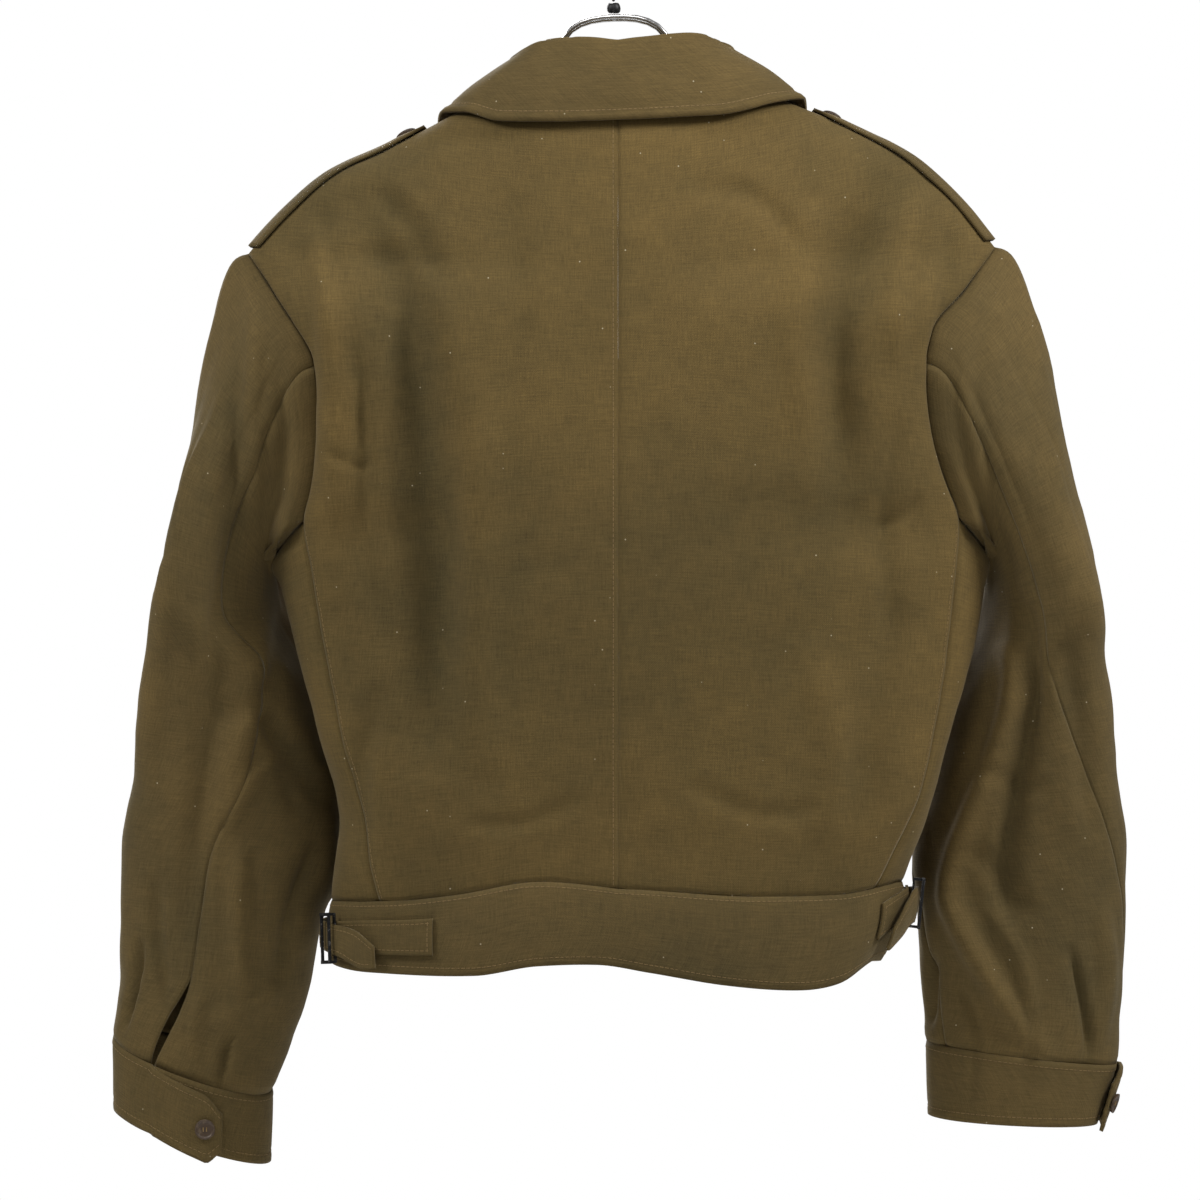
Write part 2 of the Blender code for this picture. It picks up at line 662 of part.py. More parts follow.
def build_band():
    heights = (1.0, 0.66, 0.33, 0.0)
    back = np.array([[band_drop(p, h) for p in band_ring()] for h in heights])
    add_sheet("waistband_back", back, FOLDED_WOOL, "wool")
    left = [front_point("left", 1 - u, 0) for u in spread(FRONT_COLUMNS)]
    right = [front_point("right", u, 0) for u in spread(FRONT_COLUMNS)]
    for side, line in (("left", left), ("right", right)):
        front = np.array([[band_drop(p, h) for p in line] for h in heights])
        add_sheet("waistband_front_" + side, front, FOLDED_WOOL, "wool")


def collar_column(side, column):
    if column <= BACK_COLUMNS:
        neck = back_point(side, column / BACK_COLUMNS, NECK_ROW)
    else:
        neck = front_point(side, 1 - (column - BACK_COLUMNS) / FRONT_COLUMNS, NECK_ROW)
    values = COLLAR_SHAPE[side].at(column)
    fold, edge = place(values[:3], side), place(values[3:], side)
    level = edge - fold
    level[2] = 0
    level /= np.linalg.norm(level)
    down = np.array([0, 0, -1.0])
    inner = fold - level * 2.8 + down * 2.8
    outer = fold + level * 2.8 + down * 2.8
    swell = level * 0.5 - down * 0.5
    return [neck, neck + (inner - neck) * 0.5, inner, fold, outer,
            outer + (edge - outer) * 0.5 + swell * 3.0, edge]


def build_collar():
    last = BACK_COLUMNS + FRONT_COLUMNS
    columns = [collar_column("right", c) for c in range(last, 0, -1)]
    columns += [collar_column("left", c) for c in range(last + 1)]
    points = np.array(columns).transpose(1, 0, 2)
    add_sheet("collar", points, FOLDED_WOOL, "wool")


def surface_normal(function, side, u, row):
    step = 0.01
    low, high = max(u - step, 0.0), min(u + step, 1.0)
    along = function(side, high, row) - function(side, low, row)
    rise = function(side, u, row + 0.05) - function(side, u, row - 0.05)
    normal = np.cross(along, rise)
    normal /= np.linalg.norm(normal)
    centre = np.array([HANG_SHIFT, 0.0, -480.0])
    return normal if np.dot(normal, function(side, u, row) - centre) > 0 else -normal


def walk(function, side, row, start, reach):
    # The share of a row that lies a given length along the cloth from one of its ends
    steps = [start + (1 - 2 * start) * i / 80 for i in range(81)]
    passed = 0.0
    before = function(side, steps[0], row)
    for u in steps[1:]:
        point = function(side, u, row)
        passed += np.linalg.norm(point - before)
        if passed >= reach:
            return u
        before = point
    return steps[-1]


def build_lapels():
    lift = WOOL / 2 + SEAM_GAP + FOLDED_WOOL / 2 + 0.9
    for side in ("left", "right"):
        rows = []
        for i in range(12):
            row = LAPEL_START[side] + (LAPEL_END - LAPEL_START[side]) * i / 11
            reach = float(np.interp(row, *zip(*LAPEL_SHAPE)))
            hidden = float(np.interp(row, *zip(*LAPEL_INNER[side])))
            line = []
            for c in range(5):
                distance = hidden + (reach - hidden) * c / 4
                u = walk(front_point, side, row, 0.0, distance) if distance > 0 else 0.0
                normal = surface_normal(front_point, side, u, row)
                line.append(front_point(side, u, row) + normal * (lift + 1.5 * math.sin(math.pi * c / 4)))
            rows.append(line[::-1])
        add_sheet("lapel_" + side, np.array(rows), FOLDED_WOOL, "wool", side == "right")


def strap_point(side, row, across, lift):
    # across is measured over the ridge of the shoulder, to the back positive
    function = back_point if across >= 0 else front_point
    u = walk(function, side, row, 1.0, max(abs(across), 0.01))
    ridge = surface_normal(back_point, side, 1.0, row) + surface_normal(front_point, side, 1.0, row)
    ridge /= np.linalg.norm(ridge)
    normal = surface_normal(function, side, u, row)
    share = ease(abs(across) / 14.0)
    normal = ridge * (1 - share) + normal * share
    normal /= np.linalg.norm(normal)
    return function(side, u, row) + normal * lift


def build_shoulder_straps():
    lift = WOOL / 2 + SEAM_GAP + STRAP_WOOL / 2 + 1.1
    for side in ("left", "right"):
        rows = []
        for i in range(10):
            row = STRAP_SHAPE[0][0] + (STRAP_SHAPE[-1][0] - STRAP_SHAPE[0][0]) * i / 9
            keys = [r[0] for r in STRAP_SHAPE]
            back = float(np.interp(row, keys, [r[1] for r in STRAP_SHAPE]))
            front = float(np.interp(row, keys, [r[2] for r in STRAP_SHAPE]))
            line = [strap_point(side, row, back - (back + front) * c / 6, lift) for c in range(7)]
            rows.append(line)
        add_sheet("shoulder_strap_" + side, np.array(rows)[:, ::-1], STRAP_WOOL, "wool", side == "left")


def frame_across(first, second, lead):
    # Three unit directions: along a path, and two square to it that turn as little as possible
    along = second - first
    along /= np.linalg.norm(along)
    side = lead - along * np.dot(lead, along)
    side /= np.linalg.norm(side)
    return along, side, np.cross(along, side)


def add_tube(name, path, radius, sides, closed, material):
    body = bmesh.new()
    path = [np.array(p, float) for p in path]
    count = len(path)
    lead = np.array([0.03, 1.0, 0.02])
    rings = []
    for i, point in enumerate(path):
        before = path[i - 1] if closed or i else path[i]
        after = path[(i + 1) % count] if closed or i + 1 < count else path[i]
        along, side, up = frame_across(before, after, lead)
        lead = side
        rings.append([body.verts.new(MM * (point + radius * (math.cos(a) * side + math.sin(a) * up)))
                      for a in (2 * math.pi * k / sides for k in range(sides))])
    for i in range(count if closed else count - 1):
        one, two = rings[i], rings[(i + 1) % count]
        shift = 0
        if closed and i == count - 1:
            gaps = []
            for j in range(sides):
                gaps.append(sum((one[k].co - two[(k + j) % sides].co).length for k in range(sides)))
            shift = gaps.index(min(gaps))
        for k in range(sides):
            a, b = one[k], one[(k + 1) % sides]
            c, d = two[(k + 1 + shift) % sides], two[(k + shift) % sides]
            body.faces.new((a, b, c, d))
    if not closed:
        body.faces.new(rings[0][::-1])
        body.faces.new(rings[-1])
    finish_solid(body, name, material, smooth=True)


def smooth_path(knots, steps):
    # A rounded path through a few named points
    lengths = [0.0]
    for a, b in zip(knots, knots[1:]):
        lengths.append(lengths[-1] + math.dist(a, b))
    chart = Chart("along x y z", *[(t, *k) for t, k in zip(lengths, knots)])
    return [chart.at(lengths[-1] * i / steps) for i in range(steps + 1)]


def tilt(point):
    # The hanger hangs a little lower on the wearer's left
    turn = math.radians(HANGER_TILT)
    x, y, z = point
    return np.array([x * math.cos(turn) + z * math.sin(turn), y, -x * math.sin(turn) + z * math.cos(turn)])


def build_hanger():
    half = [(x, HANGER_DEPTH, z) for x, z in HANGER_ARM]
    arm = smooth_path(half, 15)
    tip = arm[-1]
    bend = [np.array([tip[0] + HANGER_DEPTH * math.sin(a), HANGER_DEPTH * math.cos(a),
                      tip[2] - 0.45 * HANGER_DEPTH * math.sin(a)])
            for a in (math.pi * i / 5 for i in range(1, 5))]
    front = [np.array([p[0], -p[1], p[2]]) for p in arm[::-1]]
    right = arm + bend + front
    left = [np.array([-p[0], p[1], p[2]]) for p in right[::-1]][1:-1]
    loop = [tilt(p) for p in right + left]
    add_tube("hanger_wire", loop, WIRE_RADIUS, 6, True, "chrome")
    top = HANGER_ARM[0][1]
    reach = HANGER_DEPTH - WIRE_RADIUS - SEAM_GAP
    bridge = [tilt((0, reach * i / 4, top)) for i in range(-4, 5)]
    add_tube("hanger_bridge", bridge, 2.2, 8, False, "chrome")
    centre = [tilt((0, 0, z)) for z in (top + 2.6, top + 4.2, top + 7.2, top + 9.4)]
    ferrule = bmesh.new()
    radii = (3.4, 4.6, 4.6, 3.2)
    rings = [[ferrule.verts.new(MM * (c + r * np.array([math.cos(a), math.sin(a), 0])))
              for a in (2 * math.pi * k / 12 for k in range(12))] for c, r in zip(centre, radii)]
    for one, two in zip(rings, rings[1:]):
        for k in range(12):
            ferrule.faces.new((one[k], one[(k + 1) % 12], two[(k + 1) % 12], two[k]))
    ferrule.faces.new(rings[0][::-1])
    ferrule.faces.new(rings[-1])
    finish_solid(ferrule, "hanger_ferrule", "chrome", smooth=True)
    start = centre[-1] + np.array([0, 0, SEAM_GAP])
    bend = HOOK_BEND
    low = HOOK_RADIUS - bend
    hook = [start, np.array([start[0] * 0.4, 0, low - 1.4 * bend])]
    hook += [np.array([-0.2 * bend, 0, low - 1.1 * bend])]
    for i in range(15):
        angle = math.radians(-62 + 242 * i / 14)
        hook.append(np.array([bend * math.cos(angle), 0, low + bend * math.sin(angle)]))
    add_tube("hook", hook, HOOK_RADIUS, 8, False, "chrome")


def add_disc(name, centre, normal, radius, thick, material):
    # A button: a dished disc with a raised rim
    normal = normal / np.linalg.norm(normal)
    side = np.cross(normal, [0.0, 0.0, 1.0])
    side /= np.linalg.norm(side)
    up = np.cross(normal, side)
    profile = ((0.0, 0.55), (0.62, 0.6), (0.8, 1.0), (1.0, 0.6), (0.9, 0.0), (0.0, 0.0))
    spokes = [math.cos(a) * side + math.sin(a) * up for a in (2 * math.pi * k / 10 for k in range(10))]
    body = bmesh.new()
    rings = []
    for share, height in profile:
        middle = centre + normal * thick * height
        if share == 0:
            rings.append([body.verts.new(MM * middle)])
        else:
            rings.append([body.verts.new(MM * (middle + radius * share * spoke)) for spoke in spokes])
    for one, two in zip(rings, rings[1:]):
        for k in range(10):
            n = (k + 1) % 10
            if len(one) == 1:
                body.faces.new((one[0], two[k], two[n]))
            elif len(two) == 1:
                body.faces.new((one[k], one[n], two[0]))
            else:
                body.faces.new((one[k], one[n], two[n], two[k]))
    finish_solid(body, name, material, smooth=True)


def build_buttons():
    # Each button sits on the outer face of a piece that is already placed
    for name, cloth, r, c, radius in BUTTONS:
        sheet = next(s for s in sheets if s["name"] == cloth)
        points = sheet["points"]
        normal = -sheet["normals"][r][c]
        centre = points[r][c] + normal * (sheet["thick"] / 2 + SEAM_GAP)
        add_disc(name, centre, normal, radius, 2.6, "button")


def band_place(side, reach, h, lift):
    # A place on the outer waistband: reach is the length from the centre back, h the share of its depth
    ring = band_ring()
    middle = SIDE_COLUMNS + BACK_COLUMNS
    path = ring[middle:] if side == "left" else ring[middle::-1]
    fronts = [front_point(side, 1 - u, 0) for u in spread(FRONT_COLUMNS)]
    path = path + fronts[1:]
    passed = 0.0
    for a, b in zip(path, path[1:]):
        length = np.linalg.norm(b - a)
        if passed + length >= reach:
            break
        passed += length
    share = (reach - passed) / length
    point = a + (b - a) * share
    along = (b - a) / length
    outward = np.array([along[1], -along[0], 0.0])
    outward /= np.linalg.norm(outward)
    if np.dot(outward, point - np.array([HANG_SHIFT, 0, point[2]])) < 0:
        outward = -outward
    return band_drop(point, h) + outward * lift, outward, along


def strap_on_band(name, side, table):
    # A strap along the band: table gives reach, share of depth at its top and bottom edge, and lift
    chart = Chart("step reach top bottom lift", *table)
    rows = []
    for i in range(int(table[-1][0]) + 1):
        reach, top, bottom, lift = chart.at(i)
        rows.append([band_place(side, reach, bottom + (top - bottom) * c / 3, lift)[0] for c in range(4)])
    points = np.array(rows).transpose(1, 0, 2)
    add_sheet(name, points, STRAP_WOOL, "wool", side == "right")


def build_hip_straps():
    for side in ("left", "right"):
        strap_on_band("hip_patch_" + side, side, HIP_PATCH[side])
        strap_on_band("hip_strap_" + side, side, HIP_STRAP[side])


def add_block(body, centre, along, up, out, size):
    corners = []
    for i in (-0.5, 0.5):
        for j in (-0.5, 0.5):
            for k in (-0.5, 0.5):
                corner = centre + along * size[0] * i + up * size[1] * j + out * size[2] * k
                corners.append(body.verts.new(MM * corner))
    for face in ((0, 1, 3, 2), (4, 6, 7, 5), (0, 4, 5, 1), (2, 3, 7, 6), (0, 2, 6, 4), (1, 5, 7, 3)):
        body.faces.new([corners[i] for i in face])


def build_buckles():
    # A sliding buckle: a frame over the strap and a toothed bar under it, joined past its edges
    for side, spec in BUCKLES.items():
        centre, out, along = band_place(side, spec["reach"], spec["h"], spec["lift"])
        above = band_place(side, spec["reach"], spec["h"] - 0.2, spec["lift"])[0]
        below = band_place(side, spec["reach"], spec["h"] + 0.2, spec["lift"])[0]
        up = (above - below) / np.linalg.norm(above - below)
        square = np.cross(along, up)
        out = square / np.linalg.norm(square) * (1 if np.dot(square, out) > 0 else -1)
        swing = math.radians(spec["turn"])
        leant = along * math.cos(swing) - up * math.sin(swing)
        up = up * math.cos(swing) + along * math.sin(swing)
        along = leant
        tall, wide = 34.0, 11.0
        body = bmesh.new()
        for sign in (-1, 1):
            end = centre + up * sign * (tall / 2 - 2.0)
            add_block(body, centre + along * sign * wide / 2, along, up, out, (1.8, tall - 3.3, 1.6))
            add_block(body, end, along, up, out, (wide + 2.2, 2.2, 1.8))
            add_block(body, end - out * 3.0, along, up, out, (2.0, 1.7, 6.9))
        add_block(body, centre - out * 6.2, along, up, out, (2.6, tall - 3.0, 1.2))
        mesh = bpy.data.meshes.new("blocks")
        body.to_mesh(mesh)
        body.free()
        union_blocks("buckle_" + side, mesh)


def union_blocks(name, mesh):
    # Crossing blocks become one closed solid
    blocks = bpy.data.objects.new("blocks", mesh)
    bpy.context.scene.collection.objects.link(blocks)
    seed = bpy.data.meshes.new("seed")
    empty = bpy.data.objects.new("seed", seed)
    bpy.context.scene.collection.objects.link(empty)
    join = empty.modifiers.new("join", "BOOLEAN")
    join.operation = "UNION"
    join.solver = "EXACT"
    join.use_self = True
    join.object = blocks
    graph = bpy.context.evaluated_depsgraph_get()
    body = bmesh.new()
    body.from_mesh(empty.evaluated_get(graph).to_mesh())
    bmesh.ops.remove_doubles(body, verts=body.verts[:], dist=0.0000001)
    bpy.data.objects.remove(empty, do_unlink=True)
    bpy.data.objects.remove(blocks, do_unlink=True)
    finish_solid(body, name, "dark_metal", smooth=False)


def weld_normals():
    # Sheets that meet at a seam share the normal there, so their edges stay parallel
    sums = {}
    for sheet in sheets:
        points = sheet["points"]
        total = np.zeros_like(points)
        rows, columns = points.shape[:2]
        for r in range(rows - 1):
            for c in range(columns - 1):
                a, b = points[r][c], points[r][c + 1]
                d, e = points[r + 1][c], points[r + 1][c + 1]
                face = np.cross(e - a, d - b)
                for i, j in ((r, c), (r, c + 1), (r + 1, c), (r + 1, c + 1)):
                    total[i][j] += face
        sheet["sums"] = total
        for r in range(rows):
            for c in range(columns):
                key = tuple(np.round(points[r][c], 1))
                unit = total[r][c] / np.linalg.norm(total[r][c])
                sums[key] = sums.get(key, 0) + unit
    for sheet in sheets:
        points = sheet["points"]
        normals = np.zeros_like(points)
        rows, columns = points.shape[:2]
        for r in range(rows):
            for c in range(columns):
                total = sums[tuple(np.round(points[r][c], 1))]
                normals[r][c] = total / np.linalg.norm(total)
        sheet["normals"] = normals


def settle_split_edges():
    # Points that split a straight armhole step take the normal between its ends
    for sheet in sheets:
        if not sheet["name"].startswith("upper_sleeve"):
            continue
        edge, normals = sheet["points"][-1], sheet["normals"][-1]
        order = list(range(len(edge)))
        if np.linalg.norm(edge[0] - edge[1]) > np.linalg.norm(edge[-1] - edge[-2]):
            order.reverse()
        position = 0
        for count in OVER_COUNTS:
            first, last = normals[order[position]], normals[order[position + count]]
            for j in range(1, count):
                mixed = first + (last - first) * (j / count)
                normals[order[position + j]] = mixed / np.linalg.norm(mixed)
            position += count


def trim_edges(points, normals):
    # Half the seam gap comes off every edge, along the cloth
    trimmed = points.copy()
    rows, columns = points.shape[:2]
    for r in range(rows):
        for c in range(columns):
            shift = np.zeros(3)
            if r in (0, rows - 1):
                inner = points[1 if r == 0 else rows - 2][c] - points[r][c]
                shift += inner / np.linalg.norm(inner)
            if c in (0, columns - 1):
                inner = points[r][1 if c == 0 else columns - 2] - points[r][c]
                shift += inner / np.linalg.norm(inner)
            if shift.any():
                shift -= normals[r][c] * np.dot(shift, normals[r][c])
                trimmed[r][c] = points[r][c] + shift * SEAM_GAP / 2
    return trimmed


def wall_from(sheet):
    points, normals = sheet["points"], sheet["normals"]
    points = trim_edges(points, normals)
    half = sheet["thick"] / 2
    rows, columns = points.shape[:2]
    body = bmesh.new()
    layers = []
    for offset in (half, -half):
        layer = [[body.verts.new(MM * (points[r][c] + normals[r][c] * offset)) for c in range(columns)]
                 for r in range(rows)]
        layers.append(layer)
    top, bottom = layers
    for r in range(rows - 1):
        for c in range(columns - 1):
            body.faces.new((top[r][c], top[r][c + 1], top[r + 1][c + 1], top[r + 1][c]))
            body.faces.new((bottom[r][c], bottom[r + 1][c], bottom[r + 1][c + 1], bottom[r][c + 1]))
    rim = [(0, c) for c in range(columns)] + [(r, columns - 1) for r in range(1, rows)]
    rim += [(rows - 1, c) for c in range(columns - 2, -1, -1)] + [(r, 0) for r in range(rows - 2, 0, -1)]
    for i, (r, c) in enumerate(rim):
        s, d = rim[(i + 1) % len(rim)]
        body.faces.new((top[r][c], bottom[r][c], bottom[s][d], top[s][d]))
    finish_solid(body, sheet["name"], sheet["material"], smooth=True)


MATERIALS = {
    "wool": ((0.125, 0.098, 0.045), 0.0, 0.9),
    "button": ((0.05, 0.03, 0.015), 0.0, 0.4),
    "dark_metal": ((0.02, 0.02, 0.022), 0.9, 0.45),
    "chrome": ((0.75, 0.75, 0.77), 1.0, 0.15)}


def finish_solid(body, name, material, smooth):
    bmesh.ops.triangulate(body, faces=body.faces[:], quad_method="SHORT_EDGE")
    bmesh.ops.recalc_face_normals(body, faces=body.faces[:])
    mesh = bpy.data.meshes.new(name)
    body.to_mesh(mesh)
    body.free()
    shade = np.full(len(mesh.polygons), smooth)
    mesh.polygons.foreach_set("use_smooth", shade)
    mesh.update()
    thing = bpy.data.objects.new(name, mesh)
    bpy.context.scene.collection.objects.link(thing)
    colour, metal, rough = MATERIALS[material]
    paint = bpy.data.materials.new(name + "_" + material)
    paint.use_nodes = True
    shader = paint.node_tree.nodes["Principled BSDF"]
    shader.inputs["Base Color"].default_value = (*colour, 1)
    shader.inputs["Metallic"].default_value = metal
    shader.inputs["Roughness"].default_value = rough
    mesh.materials.append(paint)
    solids.append(thing)


def clear_scene():
    for thing in list(bpy.data.objects):
        bpy.data.objects.remove(thing, do_unlink=True)


clear_scene()
build_body()
build_sleeves()
build_band()
build_collar()
build_lapels()
build_shoulder_straps()
build_hip_straps()
weld_normals()
settle_split_edges()
for sheet in sheets:
    wall_from(sheet)
build_buttons()
build_buckles()
build_hanger()
print("triangles", sum(len(s.data.polygons) for s in solids))
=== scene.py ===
# Short wool battledress jacket on a wire hanger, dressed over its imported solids
# Lengths in the tables are millimetres, x runs to the wearer's left and the back faces +Y
import math

import bmesh
import bpy
import numpy as np
from mathutils import Matrix, Vector, noise


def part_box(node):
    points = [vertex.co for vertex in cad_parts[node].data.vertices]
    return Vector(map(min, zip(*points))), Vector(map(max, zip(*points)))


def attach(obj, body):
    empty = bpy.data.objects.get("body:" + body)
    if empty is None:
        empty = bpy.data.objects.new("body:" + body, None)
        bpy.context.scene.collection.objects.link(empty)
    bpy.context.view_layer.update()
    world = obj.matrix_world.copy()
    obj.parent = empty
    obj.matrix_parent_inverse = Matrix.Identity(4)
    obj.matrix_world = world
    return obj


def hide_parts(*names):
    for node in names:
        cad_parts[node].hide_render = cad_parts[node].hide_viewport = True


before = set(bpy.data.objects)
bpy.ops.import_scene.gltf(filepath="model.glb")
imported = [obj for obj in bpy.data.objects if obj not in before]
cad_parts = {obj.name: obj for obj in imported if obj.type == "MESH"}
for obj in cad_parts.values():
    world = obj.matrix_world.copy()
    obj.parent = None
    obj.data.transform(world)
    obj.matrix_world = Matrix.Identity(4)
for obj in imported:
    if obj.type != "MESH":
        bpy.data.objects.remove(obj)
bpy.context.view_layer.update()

print("frame loaded", len(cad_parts), "nodes")

mm = 0.001
hangShift = -5.0
seamGap = 0.3
wool, foldedWool, strapWool = 2.0, 2.4, 1.8
backColumns, frontColumns, sideColumns = 12, 9, 5
pitRow, shoulderRow, neckRow = 13, 21, 28
elbowRow, forearmRow, sleeveRows = 18, 14, 20
waistLevel = -628.0  # the waist seam at the centre back
bodyCentre = (hangShift, 0, -480)
overColumns, underColumns = 16, 11
lapLift, lapEase, lapReach = 4.4, 16.0, 18.0
fine = 5  # steps of cloth to each step of the solids


class Chart:  # a short table read as smooth curves over its first column
    def __init__(self, names, *rows):
        data = np.array(rows, float)
        self.names = names.split()[1:]
        self.keys = data[:, 0]
        self.values = data[:, 1:]
        steps = np.diff(self.keys)[:, None]
        rises = np.diff(self.values, axis=0) / steps
        self.slopes = np.zeros_like(self.values)
        self.slopes[0], self.slopes[-1] = rises[0], rises[-1]
        for i in range(1, len(self.keys) - 1):
            before, after = rises[i - 1], rises[i]
            weight = steps[i - 1] + steps[i]
            mean = (before * steps[i] + after * steps[i - 1]) / weight
            limit = 2.6 * np.minimum(abs(before), abs(after))
            self.slopes[i] = np.where(before * after > 0, np.clip(mean, -limit, limit), mean * 0.35)

    def at(self, key):
        key = np.asarray(key, float)
        i = np.clip(np.searchsorted(self.keys, key, side="right") - 1, 0, len(self.keys) - 2)
        step = (self.keys[i + 1] - self.keys[i])[..., None]
        t = np.clip((key[..., None] - self.keys[i][..., None]) / step, 0, 1)
        a, c = (1 + 2 * t) * (1 - t) ** 2, t * t * (3 - 2 * t)
        b, d = t * (1 - t) ** 2 * step, t * t * (t - 1) * step
        return a * self.values[i] + b * self.slopes[i] + c * self.values[i + 1] + d * self.slopes[i + 1]


def ease(t):
    t = np.clip(t, 0.0, 1.0)
    return t * t * (3 - 2 * t)


def crease(wide, high, *line):  # a fold of the cloth along places in x and z, hollow where high is below zero
    return dict(line=line, wide=wide, high=high)


# Edge rails of the body, x measured outward from the centre back seam
# turn is how far the cloth has swung round at the rail, pull how far it keeps that heading
centreBack = Chart("row y z pull",
    (0, 70, -628, 62),
    (5, 77, -535, 66),
    (10, 82, -442, 70),
    (15, 78, -348, 70),
    (21, 64, -238, 66),
    (25, 50, -178, 56),
    (28, 37, -133, 44))

backRail = {
    "left": Chart("row x y z turn pull",
        (0, 150, 46, -634, 34, 48),
        (3, 163, 47, -579, 44, 46),
        (6, 175, 45, -522, 42, 48),
        (9, 186, 41, -466, 38, 48),
        (11, 192, 38, -428, 42, 44),
        (13, 197, 33, -397, 54, 40),
        (14, 191, 35, -378, 76, 36),
        (16, 185, 39, -342, 99, 34),
        (18, 189, 42, -300, 96, 34),
        (20, 215, 24, -256, 84, 40),
        (21, 233, -7, -228, 86, 46)),
    "right": Chart("row x y z turn pull",
        (0, 162, 42, -630, 50, 48),
        (3, 186, 44, -579, 52, 46),
        (6, 200, 43, -522, 46, 48),
        (9, 208, 40, -466, 40, 50),
        (11, 212, 38, -428, 42, 46),
        (13, 214, 33, -395, 54, 42),
        (14, 207, 36, -376, 78, 38),
        (16, 196, 40, -342, 99, 34),
        (18, 193, 42, -298, 96, 34),
        (20, 218, 24, -252, 84, 40),
        (21, 238, -7, -224, 86, 46))}

shoulderRail = {
    "left": Chart("row x y z turn pull",
        (21, 233, -7, -228, 86, 46),
        (22, 212, -6, -205, 88, 42),
        (23, 190, -5, -185, 90, 38),
        (25, 145, -4, -162, 90, 36),
        (28, 80, -2, -129, 92, 28)),
    "right": Chart("row x y z turn pull",
        (21, 238, -7, -224, 86, 46),
        (22, 216, -6, -197, 88, 42),
        (23, 193, -5, -175, 90, 38),
        (25, 147, -4, -150, 90, 36),
        (28, 82, -2, -123, 92, 28))}

centreFront = Chart("row x y z pull",
    (0, -15, -66, -628, 60),
    (5, -15, -74, -535, 64),
    (10, -15, -78, -442, 66),
    (14, -15, -77, -366, 64),
    (16, -14, -75, -330, 60),
    (20, 12, -68, -272, 52),
    (24, 38, -56, -222, 40),
    (28, 60, -42, -178, 26))

frontRail = {
    "left": Chart("row x y z turn pull",
        (0, 148, -50, -634, 38, 46),
        (3, 152, -54, -579, 44, 44),
        (6, 150, -54, -522, 44, 40),
        (9, 158, -51, -466, 46, 38),
        (11, 171, -48, -428, 50, 36),
        (13, 190, -42, -397, 58, 36),
        (14, 187, -44, -378, 72, 36),
        (16, 184, -49, -342, 92, 34),
        (18, 190, -52, -300, 92, 34),
        (20, 215, -35, -256, 84, 38),
        (21, 233, -7, -228, 88, 42)),
    "right": Chart("row x y z turn pull",
        (0, 156, -50, -630, 42, 46),
        (3, 168, -54, -579, 46, 44),
        (6, 164, -54, -522, 46, 40),
        (9, 174, -51, -466, 46, 38),
        (11, 187, -48, -428, 50, 36),
        (13, 205, -42, -395, 58, 36),
        (14, 204, -43, -376, 72, 36),
        (16, 194, -49, -342, 92, 34),
        (18, 194, -52, -298, 92, 34),
        (20, 218, -35, -252, 84, 38),
        (21, 238, -7, -224, 88, 42))}

frontShoulder = {
    "left": Chart("row x y z turn pull",
        (21, 233, -7, -228, 88, 42),
        (22, 212, -6, -205, 88, 40),
        (23, 190, -5, -185, 90, 38),
        (25, 145, -4, -162, 90, 34),
        (28, 80, -2, -129, 88, 22)),
    "right": Chart("row x y z turn pull",
        (21, 238, -7, -224, 88, 42),
        (22, 216, -6, -197, 88, 40),
        (23, 193, -5, -175, 90, 38),
        (25, 147, -4, -150, 90, 34),
        (28, 82, -2, -123, 88, 22))}

# How far the side panel bows out past its two seams, and how far its rows dip to the pit
sideBow = {
    "left": Chart("row back front dip",
        (0, 54, 50, 0),
        (3, 30, 40, 0),
        (6, 42, 46, -2),
        (9, 52, 44, -8),
        (11, 54, 46, -18),
        (13, 54, 50, -32)),
    "right": Chart("row back front dip",
        (0, 34, 46, 0),
        (3, 28, 42, 0),
        (6, 40, 48, -2),
        (9, 52, 52, -8),
        (11, 52, 52, -18),
        (13, 52, 54, -32))}

# Height of the waist seam and of the hem across the back, x to the wearer's left
waistLine = Chart("x z",
    (-175, -629), (-140, -635), (-92, -635), (-6, -628), (51, -624), (99, -631), (150, -636), (185, -637))
hemLine = Chart("x z",
    (-175, -672), (-140, -687), (-116, -691), (-68, -688), (-20, -680), (13, -675),
    (51, -676), (90, -682), (147, -681), (175, -678), (190, -668))

frontHem = -676.0

# Folds of the cloth, each a line of x z points, how wide to each side and how deep or high
backFolds = (
    crease(27, -8.5, (168, -190), (146, -234), (130, -284), (118, -353), (111, -447), (118, -541)),
    crease(19, 5.0, (182, -209), (171, -322), (182, -397), (178, -452)),
    crease(25, -7.0, (-186, -175), (-158, -216), (-142, -259), (-136, -309), (-146, -380)),
    crease(12, -4.5, (-211, -206), (-206, -262), (-199, -300)),
    crease(9, -2.0, (124, -159), (92, -157), (61, -154)),
    crease(12, -1.5, (-45, -184), (-76, -203)),
    crease(24, -4.5, (-178, -445), (-160, -520), (-152, -590)))

frontFolds = (
    crease(24, -4.5, (160, -200), (150, -262), (141, -330), (150, -420)),
    crease(23, -4.0, (-172, -190), (-150, -250), (-138, -320), (-150, -410)),
    crease(20, -3.0, (150, -470), (128, -540), (120, -600)),
    crease(21, -3.4, (-158, -455), (-130, -530), (-125, -596)))

